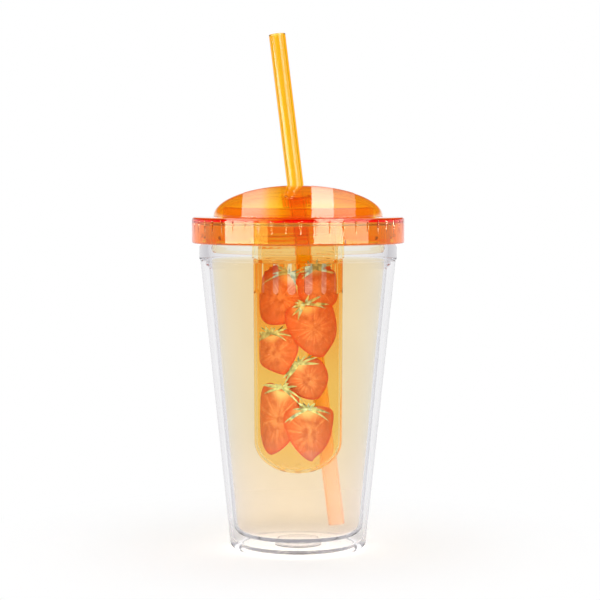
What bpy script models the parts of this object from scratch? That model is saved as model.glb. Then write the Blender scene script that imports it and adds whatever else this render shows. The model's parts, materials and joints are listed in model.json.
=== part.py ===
"""Infuser tumbler: a double-wall clear cup, a quick-turn lid with a low dome, an infuser
basket that screws into the lid, and a leaning straw.

All sizes are in metres and +Z is up. The origin is the middle of the cup's foot, on the table.
"""

import math

import bmesh
import bpy
from mathutils import Matrix, Vector

# Gaps between pieces
TOUCH_GAP = 0.0003
AIR_GAP_TOP = 0.0021
AIR_GAP_BASE = 0.0009
PLUG_RING_GAP = 0.0008
LUG_GAP = 0.0007
UPRIGHT_RING_GAP = 0.0005
INFUSER_WALL_GAP = 0.0024
STRAW_INFUSER_GAP = 0.0010
STRAW_HOLE_GAP = 0.0009
STRAW_RUNNING_GAP = 0.00015

# Outer cup
OUTER_TOP_RADIUS = 0.0460
OUTER_HEIGHT = 0.1365
OUTER_WALL = 0.0016
OUTER_FLOOR = 0.0020
CORNER_RADIUS = 0.0033
BASE_SETBACK = 0.0137
FOOT_WIDTH = 0.0022
FOOT_RECESS = 0.0012

# Plug in the outer cup's floor
PLUG_FLANGE_RADIUS = 0.0110
PLUG_FLANGE_LIP = 0.0013

# Inner cup, with the collar and neck moulded on
FLOOR_SPACE = 0.0032
INNER_FLOOR = 0.0018
INNER_WALL = 0.0015
INNER_CORNER_RADIUS = 0.0040
COLLAR_HEIGHT = 0.0075
COLLAR_LEDGE = 0.0005
COLLAR_ROUND = 0.0020
TONGUE_DEPTH = 0.0024
NECK_SETBACK = 0.0022
NECK_WALL = 0.0025
NECK_HEIGHT = 0.0087
LIP_ROUND = 0.0006

# Quick-turn lugs on the neck and in the skirt
LUG_COUNT = 4
LUG_ANGLE = math.radians(36)
LUG_REACH = 0.0016
LUG_HEIGHT = 0.0017
LUG_DROP = 0.0039

# Lid base
SKIRT_WALL = 0.0034
PLATE_THICKNESS = 0.0018
RIM_ROUND = 0.0010
SKIRT_CHAMFER = 0.0005
PLUG_RING_WALL = 0.0018
PLUG_RING_DEPTH = 0.0147
PLUG_RING_TAPER = 0.0008
UPRIGHT_RING_HEIGHT = 0.0045
UPRIGHT_RING_WALL = 0.0015
GRIP_COUNT = 48
GRIP_WIDTH = 0.0011
GRIP_DEPTH = 0.0008
GRIP_LENGTH = 0.0062
GRIP_DROP = 0.0012
GRIP_PHASE = math.radians(1.4)

# Dome
LEDGE_WIDTH = 0.0100
DOME_HEIGHT = 0.0147
DOME_WALL = 0.0016
BOSS_RADIUS = 0.0074
BOSS_DEPTH = 0.0070
SPOT_DEPTH = 0.0019

# Seals and grommet
LID_SEAL_THICKNESS = 0.0013
INFUSER_SEAL_THICKNESS = 0.0015
GROMMET_WALL = 0.00105
GROMMET_FLANGE_REACH = 0.0014
GROMMET_FLANGE_THICKNESS = 0.0009

# Infuser basket and the socket that holds it
INFUSER_SIDE_ROOM = 0.0134
INFUSER_TAPER = 0.0004
INFUSER_WALL = 0.0016
INFUSER_LENGTH = 0.1006
INFUSER_END_HEIGHT = 0.0153
SOCKET_LEDGE = 0.0006
SOCKET_WALL = 0.0016
SOCKET_DEPTH = 0.0173
THREAD_LEAD = 0.0040
THREAD_TURNS = 2
THREAD_REACH = 0.0009
THREAD_ROOT = 0.0014
THREAD_CREST = 0.0007
THREAD_START = 0.0030
SLOT_COUNT = 16
SLOT_WIDTH = 0.0040
SLOT_LENGTH = 0.0145
SLOT_DROP = 0.0012
SLOT_PHASE = math.radians(14)
DRAIN_COUNT = 8
DRAIN_RADIUS = 0.0014
DRAIN_CIRCLE = 0.0100

# Straw
STRAW_RADIUS = 0.0040
STRAW_WALL = 0.0011
STRAW_LENGTH = 0.2375
STRAW_LEAN = math.radians(7.87)
STRAW_BEARING = math.radians(151.95)
STRAW_FOOT_RUN = 0.0119

# Smoothness, as flats per turn and steps per rounded stretch
CUP_FLATS = 48
LID_FLATS = 96
BASKET_FLATS = 32
STRAW_FLATS = 20
DRAIN_FLATS = 10
CORNER_STEPS = 4
SMALL_ROUND_STEPS = 2
COLLAR_STEPS = 3
LUG_STEPS = 5
SLOT_END_STEPS = 3
DOME_STEPS = 8
BASKET_END_STEPS = 6
SMOOTH_ANGLE = math.radians(35)

# How far joined shapes sink into each other, cutters reach past, and points count as one
JOIN_DEPTH = 0.0006
CUT_OVERRUN = 0.0040
MERGE_DISTANCE = 0.00001

# Colours
CLEAR = (0.93, 0.94, 0.95)
LID_ORANGE = (0.95, 0.28, 0.03)
SOCKET_ORANGE = (0.95, 0.36, 0.05)
DOME_ORANGE = (0.96, 0.38, 0.04)
BASKET_ORANGE = (0.95, 0.45, 0.08)
STRAW_YELLOW = (0.96, 0.47, 0.04)
GROMMET_ORANGE = (0.95, 0.33, 0.05)
SEAL_CREAM = (0.93, 0.90, 0.85)

# Heights, from the table up
OUTER_FLOOR_TOP = FOOT_RECESS + OUTER_FLOOR
INNER_FLOOR_UNDERSIDE = OUTER_FLOOR_TOP + FLOOR_SPACE
INNER_FLOOR_TOP = INNER_FLOOR_UNDERSIDE + INNER_FLOOR
COLLAR_BOTTOM = OUTER_HEIGHT + TOUCH_GAP
COLLAR_TOP = COLLAR_BOTTOM + COLLAR_HEIGHT
LIP_TOP = COLLAR_TOP + NECK_HEIGHT
LID_SEAL_BOTTOM = LIP_TOP + TOUCH_GAP
PLATE_BOTTOM = LID_SEAL_BOTTOM + LID_SEAL_THICKNESS + TOUCH_GAP
PLATE_TOP = PLATE_BOTTOM + PLATE_THICKNESS
SKIRT_BOTTOM = COLLAR_TOP + TOUCH_GAP
DOME_BOTTOM = PLATE_TOP + TOUCH_GAP
SOCKET_BOTTOM = PLATE_BOTTOM - SOCKET_DEPTH
SHOULDER_TOP = SOCKET_BOTTOM - TOUCH_GAP
INFUSER_BOTTOM = SHOULDER_TOP - INFUSER_LENGTH
INFUSER_STRAIGHT_BOTTOM = INFUSER_BOTTOM + INFUSER_END_HEIGHT
INFUSER_SEAL_TOP = PLATE_BOTTOM - TOUCH_GAP
INFUSER_SEAL_BOTTOM = INFUSER_SEAL_TOP - INFUSER_SEAL_THICKNESS
BASKET_NECK_TOP = INFUSER_SEAL_BOTTOM - TOUCH_GAP

# Radii, from the cup's wall to the lid
OUTER_BASE_RADIUS = OUTER_TOP_RADIUS - BASE_SETBACK
FOOT_RADIUS = OUTER_BASE_RADIUS - CORNER_RADIUS
COLLAR_RADIUS = OUTER_TOP_RADIUS + COLLAR_LEDGE
NECK_RADIUS = COLLAR_RADIUS - NECK_SETBACK
NECK_BORE = NECK_RADIUS - NECK_WALL
SKIRT_BORE = NECK_RADIUS + LUG_REACH + LUG_GAP
RIM_RADIUS = SKIRT_BORE + SKIRT_WALL
PLUG_RING_RADIUS = NECK_BORE - PLUG_RING_GAP
PLUG_RING_BORE = PLUG_RING_RADIUS - PLUG_RING_WALL
DOME_RADIUS = RIM_RADIUS - LEDGE_WIDTH
GROMMET_BORE = STRAW_RADIUS + STRAW_RUNNING_GAP
GROMMET_RADIUS = GROMMET_BORE + GROMMET_WALL
GROMMET_FLANGE_RADIUS = GROMMET_RADIUS + GROMMET_FLANGE_REACH


def outer_wall_radius(height):
    """Outside radius of the outer cup's straight wall at a height."""
    share = (height - CORNER_RADIUS) / (OUTER_HEIGHT - CORNER_RADIUS)
    return OUTER_BASE_RADIUS + share * (OUTER_TOP_RADIUS - OUTER_BASE_RADIUS)


def inner_wall_radius(height):
    """Outside radius of the inner cup's straight wall at a height."""
    share = (height - INNER_FLOOR_TOP) / (OUTER_HEIGHT - INNER_FLOOR_TOP)
    gap = AIR_GAP_BASE + share * (AIR_GAP_TOP - AIR_GAP_BASE)
    return outer_wall_radius(height) - OUTER_WALL - gap


def cup_bore(height):
    """Radius of the space for the drink at a height."""
    return inner_wall_radius(height) - INNER_WALL


def cup_floor_height(radius):
    """Height of the drink space's floor, with its rounded corner, at a distance from the middle."""
    into_corner = radius - (cup_bore(INNER_FLOOR_TOP + INNER_CORNER_RADIUS) - INNER_CORNER_RADIUS)
    if into_corner <= 0:
        return INNER_FLOOR_TOP
    return INNER_FLOOR_TOP + INNER_CORNER_RADIUS - math.sqrt(INNER_CORNER_RADIUS**2 - into_corner**2)


# The infuser is as wide as the cup allows beside the straw, and hangs close to the front wall
INFUSER_ROOM = cup_bore(INFUSER_STRAIGHT_BOTTOM) - INFUSER_WALL_GAP / 2 - STRAW_INFUSER_GAP / 2
INFUSER_LOW_RADIUS = INFUSER_ROOM - STRAW_RADIUS - INFUSER_SIDE_ROOM / 2
INFUSER_RADIUS = INFUSER_LOW_RADIUS + INFUSER_TAPER
SOCKET_RADIUS = INFUSER_RADIUS + SOCKET_LEDGE
SOCKET_BORE = SOCKET_RADIUS - SOCKET_WALL
BASKET_NECK_RADIUS = SOCKET_BORE - THREAD_REACH - TOUCH_GAP
BASKET_NECK_BORE = BASKET_NECK_RADIUS - INFUSER_WALL
INFUSER_OFFSET = cup_bore(INFUSER_STRAIGHT_BOTTOM) - INFUSER_LOW_RADIUS - INFUSER_WALL_GAP
INFUSER_PLACE = Vector((0, -INFUSER_OFFSET, 0))


def straw_line():
    """The straw's foot and direction: in plan its line passes just clear of the infuser."""
    along = Vector((math.cos(STRAW_BEARING), math.sin(STRAW_BEARING), 0))
    aside = Vector((along.y, -along.x, 0))
    beside_infuser = INFUSER_PLACE + aside * (INFUSER_RADIUS + STRAW_RADIUS + STRAW_INFUSER_GAP)
    nearest_middle = beside_infuser - along * beside_infuser.dot(along)
    foot = nearest_middle - along * STRAW_FOOT_RUN
    end_rise = STRAW_RADIUS * math.sin(STRAW_LEAN)
    foot.z = cup_floor_height(foot.length + STRAW_RADIUS) + TOUCH_GAP + end_rise
    direction = along * math.sin(STRAW_LEAN) + Vector((0, 0, math.cos(STRAW_LEAN)))
    return foot, direction


def dome_crossing(start, direction):
    """Where the straw's axis leaves the dome's outer surface."""
    stretch = Vector((1 / DOME_RADIUS, 1 / DOME_RADIUS, 1 / DOME_HEIGHT))
    begin = (start - Vector((0, 0, DOME_BOTTOM))) * stretch
    step = direction * stretch
    half_b = begin.dot(step)
    root = math.sqrt(half_b**2 - step.dot(step) * (begin.dot(begin) - 1))
    return start + direction * ((root - half_b) / step.dot(step))


STRAW_FOOT, STRAW_DIRECTION = straw_line()
STRAW_CROSSING = dome_crossing(STRAW_FOOT, STRAW_DIRECTION)


def clear_scene():
    for thing in list(bpy.data.objects):
        bpy.data.objects.remove(thing, do_unlink=True)


def plastic(name, colour, roughness, clearness):
    """One Principled material; clearness is how much light passes through it."""
    made = bpy.data.materials.new(name)
    made.use_nodes = True
    surface = made.node_tree.nodes["Principled BSDF"]
    surface.inputs["Base Color"].default_value = (*colour, 1)
    surface.inputs["Roughness"].default_value = roughness
    surface.inputs["Metallic"].default_value = 0
    surface.inputs["Transmission Weight"].default_value = clearness
    surface.inputs["IOR"].default_value = 1.49
    return made


def axis_empty(name, place, turn=Matrix()):
    """An empty on a joint's axis, which carries the pieces that move about or along it."""
    axis = bpy.data.objects.new(name, None)
    bpy.context.collection.objects.link(axis)
    axis.matrix_world = Matrix.Translation(place) @ turn
    return axis


def place_form(form, name, carrier, finish):
    """Makes a named object of a bmesh, with its faces pointing out, under its carrier."""
    bmesh.ops.recalc_face_normals(form, faces=form.faces)
    mesh = bpy.data.meshes.new(name)
    form.to_mesh(mesh)
    form.free()
    mesh.shade_smooth()
    mesh.set_sharp_from_angle(angle=SMOOTH_ANGLE)
    made = bpy.data.objects.new(name, mesh)
    bpy.context.collection.objects.link(made)
    made.parent = carrier
    if finish:
        mesh.materials.append(finish)
    return made


def arc(centre_radius, centre_height, radius, start, end, steps):
    """Outline points of an arc in the (radius, height) plane, with angles in degrees."""
    return bow(centre_radius, centre_height, radius, radius, start, end, steps)


def bow(centre_radius, centre_height, across, up, start, end, steps):
    """Outline points of a stretch of an ellipse in the (radius, height) plane."""
    angles = [math.radians(start + (end - start) * step / steps) for step in range(steps + 1)]
    return [(centre_radius + across * math.cos(a), centre_height + up * math.sin(a)) for a in angles]


def turned(name, outline, flats, carrier, finish=None):
    """Turns an outline of (radius, height) points round Z into one closed solid.

    An outline that starts and ends on the axis is left open there. Any other is closed as a ring.
    """
    form = bmesh.new()
    points = [form.verts.new((radius, 0, height)) for radius, height in outline]
    on_axis = outline[0][0] == 0 and outline[-1][0] == 0
    following = points[1:] if on_axis else points[1:] + points[:1]
    edges = [form.edges.new(pair) for pair in zip(points, following)]
    bmesh.ops.spin(
        form, geom=points + edges, cent=(0, 0, 0), axis=(0, 0, 1), angle=math.tau,
        steps=flats, use_merge=True,
    )
    bmesh.ops.remove_doubles(form, verts=form.verts, dist=MERGE_DISTANCE)
    return place_form(form, name, carrier, finish)


def add_sweep(form, section, start, sweep, rise, steps):
    """Adds one closed body: a (radius, height) section swept round Z while it climbs by rise."""
    rings = []
    for step in range(steps + 1):
        share = step / steps
        angle = start + sweep * share
        ring = [
            form.verts.new((radius * math.cos(angle), radius * math.sin(angle), height + rise * share))
            for radius, height in section
        ]
        rings.append(ring)
    for lower, upper in zip(rings, rings[1:]):
        for corner in range(len(section)):
            after = (corner + 1) % len(section)
            form.faces.new((lower[corner], lower[after], upper[after], upper[corner]))
    form.faces.new(rings[0])
    form.faces.new(reversed(rings[-1]))


def cutter(name, form, carrier):
    """A shape that only serves to join to or cut from another, so it is kept out of renders."""
    made = place_form(form, name, carrier, None)
    return hide_tool(made)


def hide_tool(made):
    made.hide_render = True
    made.display_type = "WIRE"
    return made


def rod(name, radius, low, high, flats, carrier):
    """A plain round cutter along its carrier's Z axis."""
    outline = [(0, high), (radius, high), (radius, low), (0, low)]
    return hide_tool(turned(name, outline, flats, carrier))


def combine(target, tool, operation):
    """Joins or cuts with an exact Boolean, left as a modifier."""
    step = target.modifiers.new(tool.name, "BOOLEAN")
    step.operation = operation
    step.solver = "EXACT"
    step.object = tool


def thread_form(wall_radius, inwards, start_height):
    """A screw ridge that stands on a round wall and climbs one lead each turn."""
    side = -1 if inwards else 1
    root = wall_radius - side * JOIN_DEPTH
    crest = wall_radius + side * THREAD_REACH
    section = [
        (root, -THREAD_ROOT / 2),
        (crest, -THREAD_CREST / 2),
        (crest, THREAD_CREST / 2),
        (root, THREAD_ROOT / 2),
    ]
    raised = [(radius, start_height + height) for radius, height in section]
    form = bmesh.new()
    rise = THREAD_TURNS * THREAD_LEAD
    add_sweep(form, raised, 0, THREAD_TURNS * math.tau, rise, THREAD_TURNS * BASKET_FLATS)
    return form


def lug_form(inner_radius, outer_radius, low, high, first_angle):
    """A ring of quick-turn lugs, each a short flat rib."""
    form = bmesh.new()
    section = [(inner_radius, low), (outer_radius, low), (outer_radius, high), (inner_radius, high)]
    for lug in range(LUG_COUNT):
        middle = first_angle + math.tau * lug / LUG_COUNT
        add_sweep(form, section, middle - LUG_ANGLE / 2, LUG_ANGLE, 0, LUG_STEPS)
    return form


def make_outer_cup(finish):
    """The clear outer wall: a tapered cup with a foot ring and a hole for its plug."""
    hole = PLUG_FLANGE_RADIUS - PLUG_FLANGE_LIP
    inside_corner = CORNER_RADIUS
    inside_base = outer_wall_radius(OUTER_FLOOR_TOP + inside_corner) - OUTER_WALL - inside_corner
    outline = [(OUTER_TOP_RADIUS, OUTER_HEIGHT)]
    outline += arc(FOOT_RADIUS, CORNER_RADIUS, CORNER_RADIUS, 0, -90, CORNER_STEPS)
    outline += [
        (FOOT_RADIUS - FOOT_WIDTH, 0),
        (FOOT_RADIUS - FOOT_WIDTH - FOOT_RECESS / 2, FOOT_RECESS),
        (hole, FOOT_RECESS),
        (hole, OUTER_FLOOR_TOP),
    ]
    outline += arc(inside_base, OUTER_FLOOR_TOP + inside_corner, inside_corner, -90, 0, CORNER_STEPS)
    outline += [(OUTER_TOP_RADIUS - OUTER_WALL, OUTER_HEIGHT)]
    return turned("outer_cup", outline, CUP_FLATS, None, finish)


def make_base_plug(finish):
    """The flanged plug that closes the outer cup's floor once the two walls are joined."""
    shank = PLUG_FLANGE_RADIUS - PLUG_FLANGE_LIP - TOUCH_GAP
    flange_top = FOOT_RECESS - TOUCH_GAP
    outline = [
        (0, OUTER_FLOOR_TOP),
        (shank, OUTER_FLOOR_TOP),
        (shank, flange_top),
        (PLUG_FLANGE_RADIUS, flange_top),
        (PLUG_FLANGE_RADIUS, TOUCH_GAP),
        (0, TOUCH_GAP),
    ]
    return turned("base_plug", outline, CUP_FLATS, None, finish)


def make_inner_cup(finish):
    """The clear inner wall with its collar, which sits on the outer wall, and the lugged neck."""
    corner = INNER_CORNER_RADIUS
    corner_height = INNER_FLOOR_TOP + corner
    outer_corner = corner + INNER_WALL
    outer_corner_height = INNER_FLOOR_UNDERSIDE + outer_corner
    tongue_radius = OUTER_TOP_RADIUS - OUTER_WALL - 2 * TOUCH_GAP
    tongue_low_radius = outer_wall_radius(COLLAR_BOTTOM - TONGUE_DEPTH) - OUTER_WALL - 2 * TOUCH_GAP
    tongue_bottom = COLLAR_BOTTOM - TONGUE_DEPTH
    tongue_end = tongue_bottom - (AIR_GAP_TOP - 2 * TOUCH_GAP)
    outline = [(0, INNER_FLOOR_TOP)]
    outline += arc(cup_bore(corner_height) - corner, corner_height, corner, -90, 0, CORNER_STEPS)
    outline += [(cup_bore(COLLAR_BOTTOM), COLLAR_BOTTOM), (NECK_BORE, COLLAR_TOP)]
    outline += arc(NECK_BORE + LIP_ROUND, LIP_TOP - LIP_ROUND, LIP_ROUND, 180, 90, SMALL_ROUND_STEPS)
    outline += arc(NECK_RADIUS - LIP_ROUND, LIP_TOP - LIP_ROUND, LIP_ROUND, 90, 0, SMALL_ROUND_STEPS)
    outline += [(NECK_RADIUS, COLLAR_TOP)]
    outline += arc(
        COLLAR_RADIUS - COLLAR_ROUND, COLLAR_TOP - COLLAR_ROUND, COLLAR_ROUND, 90, 0, COLLAR_STEPS
    )
    outline += [
        (COLLAR_RADIUS, COLLAR_BOTTOM),
        (tongue_radius, COLLAR_BOTTOM),
        (tongue_low_radius, tongue_bottom),
        (inner_wall_radius(tongue_end), tongue_end),
    ]
    outline += arc(
        inner_wall_radius(outer_corner_height) - outer_corner, outer_corner_height, outer_corner,
        0, -90, CORNER_STEPS,
    )
    outline += [(0, INNER_FLOOR_UNDERSIDE)]
    cup = turned("inner_cup", outline, CUP_FLATS, None, finish)
    lug_top = LIP_TOP - LUG_DROP
    lugs = lug_form(NECK_RADIUS - JOIN_DEPTH, NECK_RADIUS + LUG_REACH, lug_top - LUG_HEIGHT, lug_top, 0)
    combine(cup, cutter("neck_lugs", lugs, None), "UNION")
    return cup


def dome_bore(height):
    """Inside radius of the dome at a height above its foot."""
    return (DOME_RADIUS - DOME_WALL) * math.sqrt(1 - (height / (DOME_HEIGHT - DOME_WALL)) ** 2)


def grip_form():
    """The ring of thin tapering grooves down the rim, wide at the top and running out below."""
    form = bmesh.new()
    top = PLATE_TOP - GRIP_DROP
    outside = RIM_RADIUS + JOIN_DEPTH
    widening = (GRIP_DEPTH + JOIN_DEPTH) / GRIP_DEPTH
    corners = [
        Vector((outside, -GRIP_WIDTH / 2 * widening, top)),
        Vector((outside, GRIP_WIDTH / 2 * widening, top)),
        Vector((RIM_RADIUS - GRIP_DEPTH, 0, top)),
        Vector((outside, 0, top - GRIP_LENGTH * widening)),
    ]
    for groove in range(GRIP_COUNT):
        turn = Matrix.Rotation(GRIP_PHASE + math.tau * groove / GRIP_COUNT, 3, "Z")
        a, b, c, d = [form.verts.new(turn @ corner) for corner in corners]
        for face in ((a, b, c), (a, d, b), (b, d, c), (c, d, a)):
            form.faces.new(face)
    return form


def make_lid_base(finish, lid_axis, straw_axis):
    """The gripped skirt with its lugs, the flat plate and the upright ring under the dome."""
    ring_radius = dome_bore(UPRIGHT_RING_HEIGHT) - UPRIGHT_RING_GAP
    ring_top = PLATE_TOP + UPRIGHT_RING_HEIGHT
    outline = [
        (0, PLATE_TOP),
        (ring_radius - UPRIGHT_RING_WALL, PLATE_TOP),
        (ring_radius - UPRIGHT_RING_WALL, ring_top),
        (ring_radius, ring_top),
        (ring_radius, PLATE_TOP),
    ]
    outline += arc(RIM_RADIUS - RIM_ROUND, PLATE_TOP - RIM_ROUND, RIM_ROUND, 90, 0, SMALL_ROUND_STEPS)
    outline += [
        (RIM_RADIUS, SKIRT_BOTTOM + SKIRT_CHAMFER),
        (RIM_RADIUS - SKIRT_CHAMFER, SKIRT_BOTTOM),
        (SKIRT_BORE, SKIRT_BOTTOM),
        (SKIRT_BORE, PLATE_BOTTOM),
        (0, PLATE_BOTTOM),
    ]
    base = turned("lid_base", outline, LID_FLATS, lid_axis, finish)

    lug_top = LIP_TOP - LUG_DROP - LUG_HEIGHT - TOUCH_GAP
    lugs = lug_form(
        NECK_RADIUS + LUG_GAP, SKIRT_BORE + JOIN_DEPTH, lug_top - LUG_HEIGHT, lug_top, math.pi / LUG_COUNT
    )
    combine(base, cutter("skirt_lugs", lugs, lid_axis), "UNION")

    combine(base, cutter("grip_grooves", grip_form(), lid_axis), "DIFFERENCE")
    plate_drop = (STRAW_CROSSING.z - (PLATE_TOP + PLATE_BOTTOM) / 2) / STRAW_DIRECTION.z
    plate_hole = rod(
        "plate_hole", STRAW_RADIUS + STRAW_HOLE_GAP, -plate_drop - CUT_OVERRUN, -plate_drop + CUT_OVERRUN,
        STRAW_FLATS, straw_axis,
    )
    combine(base, plate_hole, "DIFFERENCE")
    return base


def make_plug_ring(finish, lid_axis):
    """The ring under the plate that enters the cup's neck, narrowed at its end."""
    top = PLATE_BOTTOM - TOUCH_GAP
    bottom = PLATE_BOTTOM - PLUG_RING_DEPTH
    outline = [
        (PLUG_RING_RADIUS, top),
        (PLUG_RING_RADIUS, bottom + 2 * PLUG_RING_TAPER),
        (PLUG_RING_RADIUS - PLUG_RING_TAPER, bottom),
        (PLUG_RING_BORE, bottom),
        (PLUG_RING_BORE, top),
    ]
    return turned("plug_ring", outline, CUP_FLATS, lid_axis, finish)


def make_infuser_socket(finish, infuser_axis):
    """The tube under the plate, with a screw ridge inside that holds the basket."""
    top = PLATE_BOTTOM - TOUCH_GAP
    outline = [
        (SOCKET_RADIUS, top),
        (SOCKET_RADIUS, SOCKET_BOTTOM),
        (SOCKET_BORE, SOCKET_BOTTOM),
        (SOCKET_BORE, top),
    ]
    socket = turned("infuser_socket", outline, BASKET_FLATS, infuser_axis, finish)
    ridge = thread_form(SOCKET_BORE, True, SHOULDER_TOP + THREAD_START + THREAD_LEAD / 2)
    combine(socket, cutter("socket_thread", ridge, infuser_axis), "UNION")
    return socket


def make_lid_dome(finish, lid_axis, straw_axis):
    """The low dome over the plate, with a boss and a spot face where the straw comes through."""
    outline = bow(0, DOME_BOTTOM, DOME_RADIUS, DOME_HEIGHT, 90, 0, DOME_STEPS)
    outline[0] = (0, DOME_BOTTOM + DOME_HEIGHT)
    dome = turned("lid_dome", outline + [(0, DOME_BOTTOM)], CUP_FLATS, lid_axis, finish)

    bore_radius = DOME_RADIUS - DOME_WALL
    bore_height = DOME_HEIGHT - DOME_WALL
    hollow_outline = bow(0, DOME_BOTTOM, bore_radius, bore_height, 90, 0, DOME_STEPS)
    hollow_outline[0] = (0, DOME_BOTTOM + bore_height)
    below = DOME_BOTTOM - CUT_OVERRUN
    hollow_outline += [(bore_radius, below), (0, below)]
    hollow = hide_tool(turned("dome_hollow", hollow_outline, CUP_FLATS, lid_axis))
    boss = rod("dome_boss", BOSS_RADIUS, -BOSS_DEPTH, CUT_OVERRUN, STRAW_FLATS, straw_axis)
    combine(hollow, boss, "DIFFERENCE")
    combine(dome, hollow, "DIFFERENCE")

    spot_radius = GROMMET_FLANGE_RADIUS + TOUCH_GAP
    spot = rod("spot_face", spot_radius, -SPOT_DEPTH, CUT_OVERRUN, STRAW_FLATS, straw_axis)
    combine(dome, spot, "DIFFERENCE")
    hole_bottom = -BOSS_DEPTH - CUT_OVERRUN
    hole = rod("dome_hole", GROMMET_RADIUS + TOUCH_GAP, hole_bottom, CUT_OVERRUN, STRAW_FLATS, straw_axis)
    combine(dome, hole, "DIFFERENCE")
    return dome


def make_lid_seal(finish, lid_axis):
    """The flat ring between the neck's lip and the lid's plate."""
    outer = SKIRT_BORE - TOUCH_GAP
    inner = PLUG_RING_RADIUS + TOUCH_GAP
    bottom = LID_SEAL_BOTTOM
    top = LID_SEAL_BOTTOM + LID_SEAL_THICKNESS
    outline = [(outer, top), (outer, bottom), (inner, bottom), (inner, top)]
    return turned("lid_seal", outline, CUP_FLATS, lid_axis, finish)


def make_straw_grommet(finish, straw_axis):
    """The flanged sleeve that lines the boss and grips the straw."""
    face = -SPOT_DEPTH + TOUCH_GAP
    boss_end = -BOSS_DEPTH - TOUCH_GAP
    outline = [
        (GROMMET_FLANGE_RADIUS, face + GROMMET_FLANGE_THICKNESS),
        (GROMMET_FLANGE_RADIUS, face),
        (GROMMET_RADIUS, face),
        (GROMMET_RADIUS, boss_end),
        (GROMMET_FLANGE_RADIUS, boss_end),
        (GROMMET_FLANGE_RADIUS, boss_end - GROMMET_FLANGE_THICKNESS),
        (GROMMET_BORE, boss_end - GROMMET_FLANGE_THICKNESS),
        (GROMMET_BORE, face + GROMMET_FLANGE_THICKNESS),
    ]
    return turned("straw_grommet", outline, STRAW_FLATS, straw_axis, finish)


def make_straw(finish, straw_axis):
    """The plain tube, which reaches from just above the cup's floor to well above the dome."""
    bottom = -(STRAW_CROSSING - STRAW_FOOT).length
    top = bottom + STRAW_LENGTH
    bore = STRAW_RADIUS - STRAW_WALL
    outline = [(STRAW_RADIUS, top), (STRAW_RADIUS, bottom), (bore, bottom), (bore, top)]
    return turned("straw", outline, STRAW_FLATS, straw_axis, finish)


def slot_form():
    """The ring of upright slots with round ends, as cutters that reach through the basket's wall."""
    form = bmesh.new()
    radius = SLOT_WIDTH / 2
    top = SHOULDER_TOP - SLOT_DROP - radius
    bottom = SHOULDER_TOP - SLOT_DROP - SLOT_LENGTH + radius
    inside = INFUSER_LOW_RADIUS - INFUSER_WALL - CUT_OVERRUN / 2
    outside = INFUSER_RADIUS + CUT_OVERRUN / 2
    outline = arc(0, top, radius, 0, 180, SLOT_END_STEPS)
    outline += arc(0, bottom, radius, 180, 360, SLOT_END_STEPS)
    for slot in range(SLOT_COUNT):
        turn = Matrix.Rotation(SLOT_PHASE + math.tau * slot / SLOT_COUNT, 3, "Z")
        inner = [form.verts.new(turn @ Vector((inside, across, up))) for across, up in outline]
        outer = [form.verts.new(turn @ Vector((outside, across, up))) for across, up in outline]
        form.faces.new(inner)
        form.faces.new(reversed(outer))
        for corner in range(len(outline)):
            after = (corner + 1) % len(outline)
            form.faces.new((inner[corner], outer[corner], outer[after], inner[after]))
    return form


def drain_form():
    """Round drain holes in the basket's end: one in the middle and a ring of them."""
    form = bmesh.new()
    places = [Vector((0, 0, 0))]
    for hole in range(DRAIN_COUNT):
        angle = math.tau * hole / DRAIN_COUNT
        places.append(Vector((math.cos(angle), math.sin(angle), 0)) * DRAIN_CIRCLE)
    for place in places:
        bmesh.ops.create_cone(
            form, cap_ends=True, segments=DRAIN_FLATS, radius1=DRAIN_RADIUS, radius2=DRAIN_RADIUS,
            depth=2 * INFUSER_END_HEIGHT, matrix=Matrix.Translation(place + Vector((0, 0, INFUSER_BOTTOM))),
        )
    return form


def make_infuser_basket(finish, infuser_axis):
    """The basket: a screw neck, a slotted straight wall and a rounded end with drain holes."""
    low_bore = INFUSER_LOW_RADIUS - INFUSER_WALL
    end_height = INFUSER_STRAIGHT_BOTTOM
    outline = [
        (BASKET_NECK_RADIUS, BASKET_NECK_TOP),
        (BASKET_NECK_RADIUS, SHOULDER_TOP),
        (INFUSER_RADIUS, SHOULDER_TOP),
    ]
    outline += bow(0, end_height, INFUSER_LOW_RADIUS, INFUSER_END_HEIGHT, 0, -90, BASKET_END_STEPS)[:-1]
    outline = [(0, INFUSER_BOTTOM)] + outline[::-1]
    outline += [
        (BASKET_NECK_BORE, BASKET_NECK_TOP),
        (BASKET_NECK_BORE, SHOULDER_TOP),
        (INFUSER_RADIUS - INFUSER_WALL, SHOULDER_TOP - INFUSER_WALL),
    ]
    inside_height = INFUSER_END_HEIGHT - INFUSER_WALL
    outline += bow(0, end_height, low_bore, inside_height, 0, -90, BASKET_END_STEPS)[:-1]
    outline += [(0, INFUSER_BOTTOM + INFUSER_WALL)]
    basket = turned("infuser_basket", outline, BASKET_FLATS, infuser_axis, finish)
    neck_thread = thread_form(BASKET_NECK_RADIUS, False, SHOULDER_TOP + THREAD_START)
    combine(basket, cutter("basket_thread", neck_thread, infuser_axis), "UNION")
    combine(basket, cutter("basket_slots", slot_form(), infuser_axis), "DIFFERENCE")
    combine(basket, cutter("basket_drains", drain_form(), infuser_axis), "DIFFERENCE")
    return basket


def make_infuser_seal(finish, infuser_axis):
    """The flat ring between the basket's mouth and the lid's plate."""
    outline = [
        (BASKET_NECK_RADIUS, INFUSER_SEAL_TOP),
        (BASKET_NECK_RADIUS, INFUSER_SEAL_BOTTOM),
        (BASKET_NECK_BORE, INFUSER_SEAL_BOTTOM),
        (BASKET_NECK_BORE, INFUSER_SEAL_TOP),
    ]
    return turned("infuser_seal", outline, BASKET_FLATS, infuser_axis, finish)


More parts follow.
